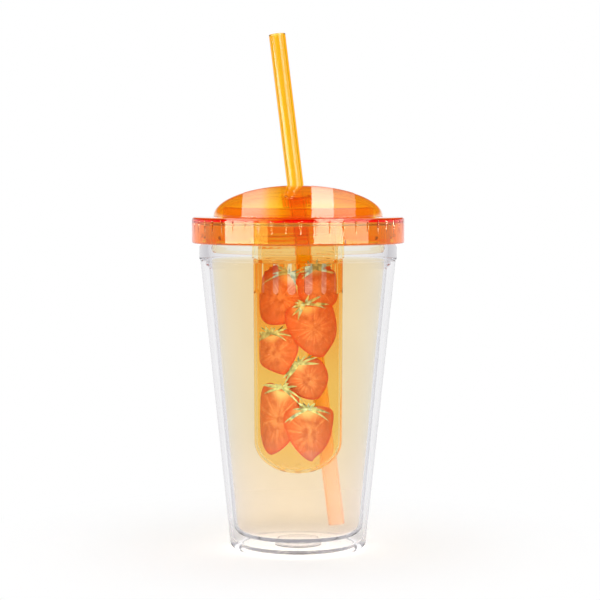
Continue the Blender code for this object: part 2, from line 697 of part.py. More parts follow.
def main():
    clear_scene()
    lid_axis = axis_empty("lid_axis", Vector((0, 0, 0)))
    infuser_axis = axis_empty("infuser_axis", INFUSER_PLACE)
    lean = STRAW_DIRECTION.to_track_quat("Z", "Y").to_matrix().to_4x4()
    straw_axis = axis_empty("straw_axis", STRAW_CROSSING, lean)

    make_outer_cup(plastic("clear_outer", CLEAR, 0.03, 1))
    make_base_plug(plastic("clear_plug", CLEAR, 0.05, 1))
    make_inner_cup(plastic("clear_inner", CLEAR, 0.03, 1))
    make_lid_base(plastic("orange_lid", LID_ORANGE, 0.05, 0.9), lid_axis, straw_axis)
    make_plug_ring(plastic("orange_plug_ring", LID_ORANGE, 0.05, 0.9), lid_axis)
    make_infuser_socket(plastic("orange_socket", SOCKET_ORANGE, 0.05, 0.9), infuser_axis)
    make_lid_dome(plastic("orange_dome", DOME_ORANGE, 0.05, 0.9), lid_axis, straw_axis)
    make_lid_seal(plastic("seal_ring", SEAL_CREAM, 0.5, 0.3), lid_axis)
    make_straw_grommet(plastic("grommet_sleeve", GROMMET_ORANGE, 0.4, 0.5), straw_axis)
    make_straw(plastic("orange_straw", STRAW_YELLOW, 0.1, 0.6), straw_axis)
    make_infuser_basket(plastic("orange_basket", BASKET_ORANGE, 0.06, 0.9), infuser_axis)
    make_infuser_seal(plastic("small_seal_ring", SEAL_CREAM, 0.5, 0.3), infuser_axis)
    bpy.context.view_layer.update()


main()
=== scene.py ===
"""The finished look of an infuser tumbler: clear double wall, orange lid, dome, basket and straw.

The file is laid out as a Blender add-on and is run as a script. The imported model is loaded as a
fixed frame, and each operator makes one piece, or a group of like pieces, in its place there.
"""

import json
import math
from collections import namedtuple

import bpy
import numpy as np
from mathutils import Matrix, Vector


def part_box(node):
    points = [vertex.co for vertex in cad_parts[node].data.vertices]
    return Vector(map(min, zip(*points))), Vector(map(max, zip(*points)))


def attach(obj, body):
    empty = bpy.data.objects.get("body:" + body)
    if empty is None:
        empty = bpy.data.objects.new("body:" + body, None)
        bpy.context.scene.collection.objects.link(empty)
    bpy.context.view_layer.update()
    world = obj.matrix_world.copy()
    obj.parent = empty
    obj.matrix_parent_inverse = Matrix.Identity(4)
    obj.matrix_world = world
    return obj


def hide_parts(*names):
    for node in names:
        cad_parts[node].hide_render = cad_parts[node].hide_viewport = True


bl_info = {
    "name": "Infuser Tumbler",
    "version": (1, 0, 0),
    "blender": (4, 5, 0),
    "location": "3D View > Sidebar > Tumbler",
    "description": "Makes the surfaces, finishes and contents of an infuser tumbler",
    "category": "Object",
}

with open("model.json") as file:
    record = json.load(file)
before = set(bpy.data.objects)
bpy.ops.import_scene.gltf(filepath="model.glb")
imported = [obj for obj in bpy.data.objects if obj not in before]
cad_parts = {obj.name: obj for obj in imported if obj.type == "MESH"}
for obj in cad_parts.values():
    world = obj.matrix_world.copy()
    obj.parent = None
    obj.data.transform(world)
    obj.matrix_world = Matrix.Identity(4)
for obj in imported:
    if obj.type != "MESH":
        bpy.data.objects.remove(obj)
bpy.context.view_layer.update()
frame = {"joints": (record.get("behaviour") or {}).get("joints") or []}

Round = namedtuple("Round", "x y radius bottom top")


def round_node(name):
    """Middle, radius, bottom and top of an upright round piece of the frame."""
    low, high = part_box(name)
    middle = (low + high) / 2
    return Round(middle.x, middle.y, (high.x - low.x) / 2, low.z, high.z)


# Places of the pieces, from the frame
OUTER_CUP = round_node("outer_cup")
BASE_PLUG = round_node("base_plug")
INNER_CUP = round_node("inner_cup")
LID_BASE = round_node("lid_base")
PLUG_RING = round_node("plug_ring")
SOCKET = round_node("infuser_socket")
DOME = round_node("lid_dome")
LID_SEAL = round_node("lid_seal")
INFUSER_SEAL = round_node("infuser_seal")
BASKET = round_node("infuser_basket")
STRAW_JOINT = next(joint for joint in frame["joints"] if joint["name"] == "straw_spin")

# The gap that touching pieces keep, a full turn, and the way up
TOUCH_GAP = 0.0003
TURN = 2 * math.pi
UP = np.array([0.0, 0.0, 1.0])

# How finely the pieces are drawn: columns per turn, and rows or steps along a stretch
CUP_COLUMNS = 240
RING_COLUMNS = 192
THREAD_COLUMNS = 160
STRAW_COLUMNS = 72
GROOVE_COLUMNS = 20
DRAIN_COLUMNS = 20
BERRY_COLUMNS = 144
LEAF_COLUMNS = 12
DOME_ROWS = 36
GROOVE_ROWS = 14
BASKET_END_ROWS = 18
FACE_ROWS = 17
BEHIND_ROWS = 36
LEAF_ROWS = 16
SLOT_END_STEPS = 11
CORNER_STEPS = 4
THREAD_STEP = 0.00015
SMOOTH_ANGLE = math.radians(38)

# Rounds of edges, from sharp to blunt, and of gentler bends
CRISP_EDGE = 0.0002
DOME_EDGE = 0.00025
PLAIN_EDGE = 0.0003
SOFT_EDGE = 0.0004
FILLET = 0.0005
SKIRT_EDGE = 0.0006
BLUNT_EDGE = 0.0008
NECK_BEND = 0.001
BORE_BEND = 0.004

# Short stretches: a lug's or groove's flank, the plain ends of a thread, the plate's edge inside
# the upright ring, how far the cutters reach past the basket, and the gap round the drink
FLANK = 0.00005
LUG_FLANK = math.radians(1.2)
PLAIN_END = 0.001
PLATE_EDGE = 0.003
SLOT_SPARE = 0.0015
DRAIN_SPARE = 0.002
DRINK_GAP = 0.0001

# Places of the plate's inner rings, from the straw's hole out to the plate's edge
PLATE_SHARES = (0, 0.04, 0.35, 0.7)

# The cosine of a corner that counts as straight on, and the step beside a corner that keeps a side
# flat: its share of the side's spare length, and its least and greatest length
STRAIGHTEST = 0.999999
FLAT_SHARE = 0.3
FLAT_STEPS = (0.00001, 0.0005)

# Heights that several pieces share
PLATE_TOP = DOME.bottom - TOUCH_GAP
PLATE_BOTTOM = PLUG_RING.top + TOUCH_GAP
COLLAR_TOP = LID_BASE.bottom - TOUCH_GAP
COLLAR_BOTTOM = OUTER_CUP.top + TOUCH_GAP
LIP_TOP = INNER_CUP.top
SHOULDER_TOP = SOCKET.bottom - TOUCH_GAP


def size(name, default, description):
    """A length that a user may change, in metres."""
    return bpy.props.FloatProperty(
        name=name, description=description, default=default, min=0.0, precision=5,
        subtype="DISTANCE", unit="LENGTH",
    )


def amount(name, default, description, low=0.0, high=10.0):
    return bpy.props.FloatProperty(name=name, description=description, default=default, min=low, max=high)


def angle(name, degrees, description):
    return bpy.props.FloatProperty(
        name=name, description=description, default=math.radians(degrees), subtype="ANGLE", unit="ROTATION",
    )


def number(name, default, description):
    return bpy.props.IntProperty(name=name, description=description, default=default, min=1)


def colour(name, default, description):
    return bpy.props.FloatVectorProperty(
        name=name, description=description, default=default, size=3, min=0.0, max=1.0, subtype="COLOR",
    )


class TumblerCupSizes(bpy.types.PropertyGroup):
    """Sizes of the two clear walls, the plug in the floor and the drink."""

    base_setback: size("Base setback", 0.0137, "How much narrower the outer wall is at its base")
    base_corner: size("Base corner", 0.0033, "Round of the outer cup's lower edge")
    outer_wall: size("Outer wall", 0.0016, "Thickness of the outer wall")
    outer_floor: size("Outer floor", 0.0020, "Thickness of the outer floor")
    foot_width: size("Foot width", 0.0022, "Width of the ring that the cup stands on")
    foot_recess: size("Foot recess", 0.0012, "How far the floor lies above the table")
    plug_lip: size("Plug lip", 0.0013, "How far the plug's flange covers the floor")
    inner_wall: size("Inner wall", 0.0015, "Thickness of the inner wall")
    inner_floor: size("Inner floor", 0.0018, "Thickness of the inner floor")
    inner_corner: size("Inner corner", 0.0040, "Round of the drink space's lower edge")
    gap_top: size("Air gap at the top", 0.0021, "Gap between the walls under the collar")
    gap_base: size("Air gap at the base", 0.0009, "Gap between the walls at the floor")
    collar_round: size("Collar round", 0.0020, "Round of the collar's upper edge")
    tongue: size("Tongue", 0.0024, "How far the collar reaches into the outer wall")
    neck_setback: size("Neck setback", 0.0022, "Step from the collar in to the neck")
    neck_wall: size("Neck wall", 0.0025, "Thickness of the neck")
    lip_round: size("Lip round", 0.0006, "Round of the neck's lip")
    fill_height: size("Drink height", 0.1368, "Height of the drink's surface above the table")


class TumblerLidSizes(bpy.types.PropertyGroup):
    """Sizes of the lid, its lugs and grooves, the dome and the seals."""

    skirt_wall: size("Skirt wall", 0.0034, "Thickness of the gripped skirt")
    rim_round: size("Rim round", 0.0010, "Round of the rim's upper edge")
    lug_count: number("Lugs", 4, "Quick-turn lugs on the neck, and as many in the skirt")
    lug_angle: angle("Lug angle", 36, "How far each lug reaches round")
    lug_reach: size("Lug reach", 0.0016, "How far a lug stands out")
    lug_height: size("Lug height", 0.0017, "Height of a lug")
    lug_drop: size("Lug drop", 0.0039, "From the lip down to the neck's lugs")
    plug_wall: size("Plug ring wall", 0.0018, "Thickness of the ring inside the neck")
    plug_taper: size("Plug ring taper", 0.0008, "Narrowing at the plug ring's end")
    ring_height: size("Upright ring height", 0.0045, "Height of the ring under the dome")
    ring_wall: size("Upright ring wall", 0.0015, "Thickness of the ring under the dome")
    ring_gap: size("Upright ring gap", 0.0005, "Gap from the upright ring to the dome")
    grip_count: number("Grip grooves", 48, "Grooves round the skirt")
    grip_width: size("Groove width", 0.0011, "Width of a groove at its top")
    grip_depth: size("Groove depth", 0.0006, "Depth of a groove at its top")
    grip_length: size("Groove length", 0.0062, "How far down a groove runs out")
    grip_drop: size("Groove drop", 0.0012, "From the plate's top down to the grooves")
    grip_phase: angle("Groove phase", 1.4, "Turn of the first groove")
    dome_wall: size("Dome wall", 0.0016, "Thickness of the dome")
    boss_radius: size("Boss radius", 0.0074, "Outside radius of the boss under the dome")
    boss_depth: size("Boss depth", 0.0070, "From the dome's surface down to the boss's end")
    spot_depth: size("Spot depth", 0.0019, "How deep the grommet's seat is sunk")
    hole_gap: size("Straw hole gap", 0.0009, "Gap from the straw to the plate")


class TumblerStrawSizes(bpy.types.PropertyGroup):
    """Sizes of the straw and its grommet."""

    radius: size("Straw radius", 0.0040, "Outside radius of the straw")
    wall: size("Straw wall", 0.0011, "Thickness of the straw")
    length: size("Straw length", 0.2375, "Length of the straw")
    running_gap: size("Running gap", 0.00015, "Gap from the straw to the grommet")
    grommet_wall: size("Grommet wall", 0.00105, "Thickness of the grommet's sleeve")
    flange_reach: size("Flange reach", 0.0014, "How far the grommet's flanges reach")
    flange_thickness: size("Flange thickness", 0.0009, "Thickness of the grommet's flanges")


class TumblerInfuserSizes(bpy.types.PropertyGroup):
    """Sizes of the basket and of the socket that it screws into."""

    wall: size("Basket wall", 0.0016, "Thickness of the basket")
    taper: size("Basket taper", 0.0004, "How much narrower the basket is at the foot of its straight wall")
    end_height: size("End height", 0.0153, "Height of the basket's rounded end")
    socket_wall: size("Socket wall", 0.0016, "Thickness of the socket")
    thread_lead: size("Thread lead", 0.0040, "Climb of the screw ridge in one turn")
    thread_turns: number("Thread turns", 2, "Turns of the screw ridge")
    thread_reach: size("Thread reach", 0.0009, "How far the ridge stands out")
    thread_root: size("Thread root", 0.0014, "Width of the ridge at its root")
    thread_crest: size("Thread crest", 0.0007, "Width of the ridge at its crest")
    thread_start: size("Thread start", 0.0030, "From the shoulder up to the basket's ridge")
    slot_count: number("Slots", 16, "Upright slots below the socket")
    slot_width: size("Slot width", 0.0040, "Width of a slot")
    slot_length: size("Slot length", 0.0145, "Length of a slot")
    slot_drop: size("Slot drop", 0.0012, "From the shoulder down to the slots")
    slot_phase: angle("Slot phase", 14, "Turn of the first slot")
    drain_count: number("Drains", 8, "Round holes in the basket's end, round one in the middle")
    drain_radius: size("Drain radius", 0.0014, "Radius of a drain hole")
    drain_circle: size("Drain circle", 0.0100, "Radius of the ring of drain holes")


class TumblerFruitSizes(bpy.types.PropertyGroup):
    """Sizes of the halved strawberries in the basket."""

    wall_gap: size("Gap to the basket", 0.0002, "From the cut faces to the basket's inner wall")
    thickness: size("Thickness", 0.0085, "Thickness of a half at its middle")
    unevenness: amount("Unevenness", 0.06, "Reach of the outline's slow waves, as a share", 0, 0.3)
    dip: amount("Dip", 0.05, "Depth of the dip under the crown, as a share of the length", 0, 0.3)
    leaf_count: number("Leaves", 12, "Leaves of one green crown")
    leaf_length: size("Leaf length", 0.0100, "Length of a leaf of the green crown")
    leaf_width: size("Leaf width", 0.0013, "Width of a leaf of the green crown")
    leaf_thickness: size("Leaf thickness", 0.0003, "Thickness of a leaf")


class TumblerColours(bpy.types.PropertyGroup):
    """Colours of the plastics, the drink and the fruit."""

    clear: colour("Clear outer wall", (0.985, 0.985, 0.988), "The outer cup's clear plastic")
    # The next colour is painted shade: a grey that darkens the clear outer wall towards its foot, in place
    # of the shade that the thick base shows
    clear_foot_painted_shade: colour("Clear base", (0.875, 0.868, 0.868), "The outer cup's clear plastic at its base")
    plug: colour("Base plug", (0.84, 0.832, 0.832), "The clear plug in the outer cup's base")
    clear_inner: colour("Clear inner wall", (1.0, 1.0, 1.0), "The inner cup's clear plastic")
    lid: colour("Lid", (1.0, 0.84, 0.52), "The lid's surface; its dye adds the rest")
    ring: colour("Rings under the lid", (1.0, 0.975, 0.92), "The plug ring, the socket and the grommet")
    dome: colour("Dome", (1.0, 0.80, 0.36), "The dome's surface")
    basket: colour("Basket", (1.0, 0.62, 0.22), "The basket's surface at its socket")
    basket_neck: colour("Basket's neck", (1.0, 0.84, 0.55), "The basket's surface inside the socket")
    basket_low: colour("Basket's end", (1.0, 0.86, 0.52), "The basket's surface at its rounded end")
    straw_low: colour("Straw in the drink", (1.0, 0.84, 0.92), "The straw's surface near its foot")
    straw: colour("Straw", (1.0, 0.81, 0.29), "The straw's surface")
    seal: colour("Seals", (0.93, 0.90, 0.85), "The soft seal rings")
    drink: colour("Drink", (1.0, 0.962, 0.862), "The drink's tint")
    drink_low: colour("Drink at the floor", (0.940, 0.885, 0.838), "The drink's tint near the floor")
    flesh: colour("Fruit flesh", (0.395, 0.086, 0.050), "The cut faces near their edge")
    core: colour("Fruit core", (0.50, 0.220, 0.155), "The paler middle of the cut faces")
    pith: colour("Fruit pith", (0.58, 0.46, 0.34), "The cut faces round the crown")
    skin: colour("Fruit skin", (0.36, 0.034, 0.018), "The strawberries' outside")
    seed: colour("Seeds", (0.85, 0.60, 0.20), "The seeds in the skin")
    leaf: colour("Leaves", (0.30, 0.39, 0.35), "The green crowns")


class TumblerStageSizes(bpy.types.PropertyGroup):
    """The floor, the lamps and the camera."""

    camera_distance: size("Camera distance", 0.896, "From the cup's axis to the camera")
    camera_height: size("Camera height", 0.1708, "Height of the camera above the table")
    camera_side: size("Camera side", 0.0009, "The camera's place to the right")
    camera_pitch: angle("Camera pitch", 3.40, "How far the camera looks down")
    field_of_view: angle("Field of view", 17.95, "Width of the camera's view")
    lamp_distance: size("Lamp distance", 1.0, "From the cup's axis to the softboxes")
    lamp_brightness: amount("Lamp brightness", 11.0, "How bright a softbox looks", 0, 50)
    softbox_middle: size("Softbox middle", 0.16, "Height of the upright softboxes' middle")
    softbox_height: size("Softbox height", 0.26, "Height of the upright softboxes")
    ambient: amount("Ambient light", 0.14, "Strength of the room's even light")
    mirrored: amount("Mirrored room", 0.35, "Brightness of the room in reflections")
    mirrored_inside: amount("Mirrored inside", 0.90, "Brightness of the room in reflections in the plastic")
    ceiling: colour("Mirrored ceiling", (0.62, 0.13, 0.02), "The room's ceiling in reflections")
    shadow_reach: size("Shadow reach", 0.17, "How far from the cup the floor takes its shadow")


GROUPS = {
    "tumbler_cup": TumblerCupSizes,
    "tumbler_lid": TumblerLidSizes,
    "tumbler_straw": TumblerStrawSizes,
    "tumbler_infuser": TumblerInfuserSizes,
    "tumbler_fruit": TumblerFruitSizes,
    "tumbler_colours": TumblerColours,
    "tumbler_stage": TumblerStageSizes,
}


# Surfaces

def chosen(*groups):
    """The sizes and colours that the scene holds for the named groups."""
    return [getattr(bpy.context.scene, "tumbler_" + group) for group in groups]


def unit(vectors):
    """Vectors of length one; one that has no length stays as it is."""
    length = np.linalg.norm(vectors, axis=-1, keepdims=True)
    return vectors / np.where(length > 0, length, 1)


def around(count):
    """Even angles round a full turn."""
    return np.arange(count) * TURN / count


def circle(angles):
    """Points of a level circle of radius one."""
    return np.stack([np.cos(angles), np.sin(angles), np.zeros_like(angles)], axis=-1)


def rounded(corners, rounds, closed=True):
    """An outline of (radius, height) corners with its corners rounded.

    Each corner gives an arc that touches both of its sides, whose ends lie round / tan(half the
    corner's angle) from the corner. Along the arc a point's direction from the arc's middle turns
    evenly from one end's to the other's. A point a little further along each side keeps the side
    flat when it is shaded. The ends of an open outline stay as they are.
    """
    corners = np.asarray(corners, float)
    rounds = np.broadcast_to(np.asarray(rounds, float), len(corners))
    back = np.roll(corners, 1, axis=0) - corners
    onward = np.roll(corners, -1, axis=0) - corners
    back_length = np.linalg.norm(back, axis=1)
    onward_length = np.linalg.norm(onward, axis=1)
    back = unit(back)
    onward = unit(onward)
    half = np.arccos(np.clip((back * onward).sum(1), -STRAIGHTEST, STRAIGHTEST)) / 2
    reach = rounds / np.tan(half)
    middle = corners + unit(back + onward) * (rounds / np.sin(half))[:, None]
    sweep = (math.pi - 2 * half)[:, None, None]
    share = np.linspace(0, 1, CORNER_STEPS + 1)[None, :, None]
    start = (corners + back * reach[:, None])[:, None]
    end = (corners + onward * reach[:, None])[:, None]
    centre = middle[:, None]
    arcs = centre + (
        (start - centre) * np.sin((1 - share) * sweep) + (end - centre) * np.sin(share * sweep)
    ) / np.sin(sweep)
    spare_back = back_length - reach - np.roll(reach, 1)
    spare_onward = onward_length - reach - np.roll(reach, -1)
    if not closed:
        spare_back[1] = back_length[1] - reach[1]
        spare_onward[-2] = onward_length[-2] - reach[-2]
    before = start + back[:, None] * np.clip(FLAT_SHARE * spare_back, *FLAT_STEPS)[:, None, None]
    after = end + onward[:, None] * np.clip(FLAT_SHARE * spare_onward, *FLAT_STEPS)[:, None, None]
    stretches = np.concatenate([before, arcs, after], axis=1)
    if closed:
        return stretches.reshape(-1, 2)
    return np.vstack([corners[:1], stretches[1:-1].reshape(-1, 2), corners[-1:]])


def ring_section(outer, inner, bottom, top, edge):
    """The section of a plain ring: a rectangle with rounded corners."""
    return rounded([(outer, top), (outer, bottom), (inner, bottom), (inner, top)], edge)


def straight(start, end, step):
    """Points along a straight stretch of an outline, a step apart, without its ends."""
    start, end = np.asarray(start, float), np.asarray(end, float)
    count = max(2, int(np.linalg.norm(end - start) / step))
    return start + np.linspace(0, 1, count + 1)[1:-1, None] * (end - start)


def joined(*parts):
    """One outline made of several, and the number of the part that each of its points is from."""
    parts = [np.atleast_2d(part) for part in parts]
    return np.vstack(parts), np.repeat(np.arange(len(parts)), [len(part) for part in parts])


def blended(start, end, shares):
    """Rings between two rings, each point moved along the straight line to its partner."""
    return start + np.asarray(shares)[:, None, None] * (end - start)


def turned(outline, angles, base=(0, 0, 0), axes=np.eye(3), lift=0):
    """Rows of points: base + (r + lift) (cos a side + sin a back) + height up, for each outline point."""
    radius = outline[:, 0, None] + lift
    height = outline[:, 1, None, None]
    across = (radius * np.cos(angles))[..., None] * axes[0]
    along = (radius * np.sin(angles))[..., None] * axes[1]
    return np.asarray(base) + across + along + height * axes[2]


def skin_faces(rows, width, loop):
    """Quads between each row and the next, each row being a closed ring; a loop joins last to first."""
    index = np.arange(rows * width).reshape(rows, width)
    here = index if loop else index[:-1]
    onward = np.roll(index, -1, axis=0) if loop else index[1:]
    quads = np.stack([here, np.roll(here, -1, 1), np.roll(onward, -1, 1), onward], axis=-1)
    return quads.reshape(-1, 4)


def pole_faces(ring, pole, turn_round):
    """A fan of triangles from a ring of point numbers to one pole."""
    after = np.roll(ring, -1)
    first, second = (after, ring) if turn_round else (ring, after)
    return np.stack([np.full(len(ring), pole), first, second], axis=-1)


def body_of(rows, poles=None):
    """Points and faces of one closed body: a stack of rings joined last to first, or closed by poles."""
    count, width = rows.shape[:2]
    points = rows.reshape(-1, 3)
    quads = skin_faces(count, width, poles is None)
    if poles is None:
        return points, quads, np.zeros((0, 3), int)
    total = count * width
    first = pole_faces(np.arange(width), total, True)
    last = pole_faces(np.arange(total - width, total), total + 1, False)
    return np.vstack([points, poles]), quads, np.vstack([first, last])


def rod(section, start, end, way):
    """A closed body: a flat section carried along a direction from one distance to another."""
    rows = section + np.array([start, end])[:, None, None] * way
    return body_of(rows, rows.mean(1))


def volume_sign(points, quads, triangles):
    """Positive when the faces point outwards: the sum of the faces' volumes to the origin."""
    halves = np.vstack([quads[:, [0, 1, 2]], quads[:, [0, 2, 3]], triangles])
    a, b, c = (points[halves[:, corner]] for corner in range(3))
    return np.sign((a * np.cross(b, c)).sum())


def shade_soft(mesh):
    """Shades a mesh smooth, but for its sharper edges."""
    mesh.shade_smooth()
    mesh.set_sharp_from_angle(angle=SMOOTH_ANGLE)


def make_piece(name, bodies, finish, body, nodes=()):
    """A named object of one or more closed bodies, in place, riding on a body of the frame."""
    points, faces, base = [], [], 0
    for body_points, quads, triangles in bodies:
        if volume_sign(body_points - body_points.mean(0), quads, triangles) < 0:
            quads, triangles = quads[:, ::-1], triangles[:, ::-1]
        faces += (quads + base).tolist() + (triangles + base).tolist()
        points.append(body_points)
        base += len(body_points)
    mesh = bpy.data.meshes.new(name)
    mesh.from_pydata(np.vstack(points), [], faces)
    mesh.materials.append(finish)
    shade_soft(mesh)
    made = bpy.data.objects.new(name, mesh)
    bpy.context.scene.collection.objects.link(made)
    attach(made, body)
    if nodes:
        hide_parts(*nodes)
    return made


def turned_piece(
    name, outline, finish, body, nodes=(),
    columns=RING_COLUMNS, base=(0, 0, 0), axes=np.eye(3), lift=0,
):
    """A piece turned from an outline; one whose outline starts on the axis is closed by two poles."""
    rows = turned(outline, around(columns), base, axes, lift)
    poles = None
    if outline[0, 0] == 0:
        poles = rows[[0, -1], 0]
        rows = rows[1:-1]
    return make_piece(name, [body_of(rows, poles)], finish, body, nodes)


def no_shadow(*pieces):
    """Clear pieces let the lamps light what is inside them."""
    for piece in pieces:
        piece.visible_shadow = False


# Finishes

# How strongly a glossy coat bends light, the share it mirrors straight back, and its roughness
COAT_IOR = 1.45
COAT_MIRROR = ((COAT_IOR - 1) / (COAT_IOR + 1))**2
COAT_ROUGHNESS = 0.03

# A plastic's colour, what its dye takes from red, green and blue in a metre, how strongly it bends
# light, its roughness, the weight of its coat, how milky it is low down, and its mirror tint. The
# lid's is warm, because part of what it mirrors comes from behind its dyed surface.
Plastic = namedtuple("Plastic", "tone dye ior roughness coat veil gloss", defaults=(0.03, 0, 0, (1, 1, 1)))

CLEAR_DYE = (12.0, 12.6, 11.6)
RING_DYE = (0.3, 7.0, 36.0)
PLASTICS = {
    "clear_outer": Plastic("clear", CLEAR_DYE, 1.035),
    "clear_plug": Plastic("plug", CLEAR_DYE, 1.03),
    "clear_inner": Plastic("clear_inner", CLEAR_DYE, 1.03),
    "orange_lid": Plastic("lid", (0.4, 142.0, 640.0), 1.49, gloss=(1.0, 1.0, 0.70)),
    "orange_plug_ring": Plastic("ring", RING_DYE, 1.05, coat=0.4),
    "orange_socket": Plastic("ring", RING_DYE, 1.04),
    "orange_dome": Plastic("dome", (0.4, 112.0, 580.0), 1.12, coat=1.0),
    "orange_straw": Plastic("straw", (8.0, 120.0, 700.0), 1.12, coat=0.4, veil=0.25),
    "grommet_sleeve": Plastic("ring", RING_DYE, 1.10, roughness=0.12),
    "orange_basket": Plastic("basket", (0.3, 4.0, 16.0), 1.04, roughness=0.02),
    "pale_drink": Plastic("drink", (0.4, 3.0, 9.0), 1.0, roughness=0.0, veil=0.08),
}

# Where a tone low down holds and where it ends: heights on the outer wall, where the tone is painted
# shade that greys the foot, shares of the shoulder's height on the basket, and shares of the drink's
# height on the straw and in the drink
FOOT_SHADE_FADE = (0.004, 0.014)
BASKET_FADE = (0.55, 1.0)
STRAW_FADE = (0.33, 0.85)
DRINK_FADE = (0.15, 0.5)


def low_tone(tone, fade, height=1.0):
    """A tone low down, with the heights where it holds and where it ends."""
    return tone, fade[0] * height, fade[1] * height


def node(tree, kind, inputs, **settings):
    """Adds a shader node; an input given as a socket is linked, and any other is set."""
    made = tree.nodes.new("ShaderNode" + kind)
    for key, value in settings.items():
        setattr(made, key, value)
    feed(tree, made, inputs)
    return made


def feed(tree, made, inputs):
    for key, value in inputs.items():
        if isinstance(value, bpy.types.NodeSocket):
            tree.links.new(value, made.inputs[key])
        else:
            made.inputs[key].default_value = value


def compute(tree, operation, *values):
    """The result of a Math node over numbers and sockets."""
    return node(tree, "Math", dict(enumerate(values)), operation=operation).outputs[0]


def spread(tree, value, low, high, to_low=0.0, to_high=1.0):
    """A value's place between two limits, brought to two others with soft ends."""
    inputs = {"Value": value, "From Min": low, "From Max": high, "To Min": to_low, "To Max": to_high}
    return node(tree, "MapRange", inputs, interpolation_type="SMOOTHSTEP").outputs["Result"]


def mixed(tree, factor, first, second):
    """A colour between two colours."""
    inputs = {"Factor": factor, "A": first, "B": second}
    return node(tree, "Mix", inputs, data_type="RGBA").outputs["Result"]


def noise(tree, vector, scale, detail=2.0):
    return node(tree, "TexNoise", {"Vector": vector, "Scale": scale, "Detail": detail}).outputs["Fac"]


def marked(tree, name, output):
    """What an attribute of the mesh says."""
    return node(tree, "Attribute", {}, attribute_name=name).outputs[output]


def vector_math(tree, operation, output, *vectors):
    """An output of a Vector Math node over numbers and sockets."""
    return node(tree, "VectorMath", dict(enumerate(vectors)), operation=operation).outputs[output]


def shade(tone, share=1.0):
    """A colour with its brightness changed, as four numbers."""
    return (*[min(1.0, part * share) for part in tone], 1.0)


def new_finish(name):
    """A material, its nodes, its Principled shader and the object's own coordinates."""
    made = bpy.data.materials.new(name)
    made.use_nodes = True
    tree = made.node_tree
    return made, tree, tree.nodes["Principled BSDF"], node(tree, "TexCoord", {}).outputs["Object"]


def bare_finish(name):
    """A material without a shader, its nodes and the socket of its surface."""
    made = bpy.data.materials.new(name)
    made.use_nodes = True
    tree = made.node_tree
    tree.nodes.remove(tree.nodes["Principled BSDF"])
    return made, tree, tree.nodes["Material Output"].inputs["Surface"]


def ripple(tree, surface, height, strength, distance):
    """Feeds a height into the surface's normal."""
    wave = node(tree, "Bump", {"Height": height, "Strength": strength, "Distance": distance})
    feed(tree, surface, {"Normal": wave.outputs["Normal"]})


def dyed_plastic(name, colours, tones=()):
    """See-through plastic: its surface is tinted lightly and its depth by a dye.

    The plastic's own colour may run into other tones, each given with the height where it holds and
    the height where it ends, and with a milky veil over the last of them. Slow noise shifts the
    colour and the polish, and ripples the surface slightly.
    """
    plastic = PLASTICS[name]
    made, tree, surface, place = new_finish(name)
    flow = noise(tree, place, 60.0)
    tone = getattr(colours, plastic.tone)
    tint = mixed(tree, flow, shade(tone, 0.985), shade(tone, 1.01))
    clearness = 1.0
    height = node(tree, "SeparateXYZ", {"Vector": place}).outputs["Z"]
    for other, holds, ends in tones:
        away = spread(tree, height, holds, ends)
        tint = mixed(tree, away, shade(getattr(colours, other)), tint)
        if plastic.veil:
            clearness = compute(tree, "MULTIPLY_ADD", away, plastic.veil, 1 - plastic.veil)
    polish = spread(tree, flow, 0.3, 0.7, plastic.roughness * 0.6, plastic.roughness * 1.4)
    feed(tree, surface, {
        "Base Color": tint, "Roughness": polish, "Transmission Weight": clearness, "IOR": plastic.ior,
        "Specular Tint": shade(plastic.gloss), "Coat Weight": plastic.coat,
        "Coat Roughness": COAT_ROUGHNESS, "Coat IOR": COAT_IOR,
    })
    if plastic.ior > 1:
        ripple(tree, surface, flow, 0.04, 0.0005)
    strongest = max(plastic.dye)
    depth = node(tree, "VolumeAbsorption", {
        "Color": (*[1 - part / strongest for part in plastic.dye], 1), "Density": strongest,
    })
    tree.links.new(depth.outputs["Volume"], tree.nodes["Material Output"].inputs["Volume"])
    return made


def soft_rubber(name, tone):
    """Satin rubber with a fine grain, which lets a little light through."""
    made, tree, surface, place = new_finish(name)
    grain = noise(tree, place, 900.0)
    feed(tree, surface, {
        "Base Color": mixed(tree, grain, shade(tone, 0.94), shade(tone)),
        "Roughness": spread(tree, grain, 0.3, 0.7, 0.35, 0.5),
        "Transmission Weight": 0.6,
    })
    ripple(tree, surface, grain, 0.15, 0.0001)
    return made


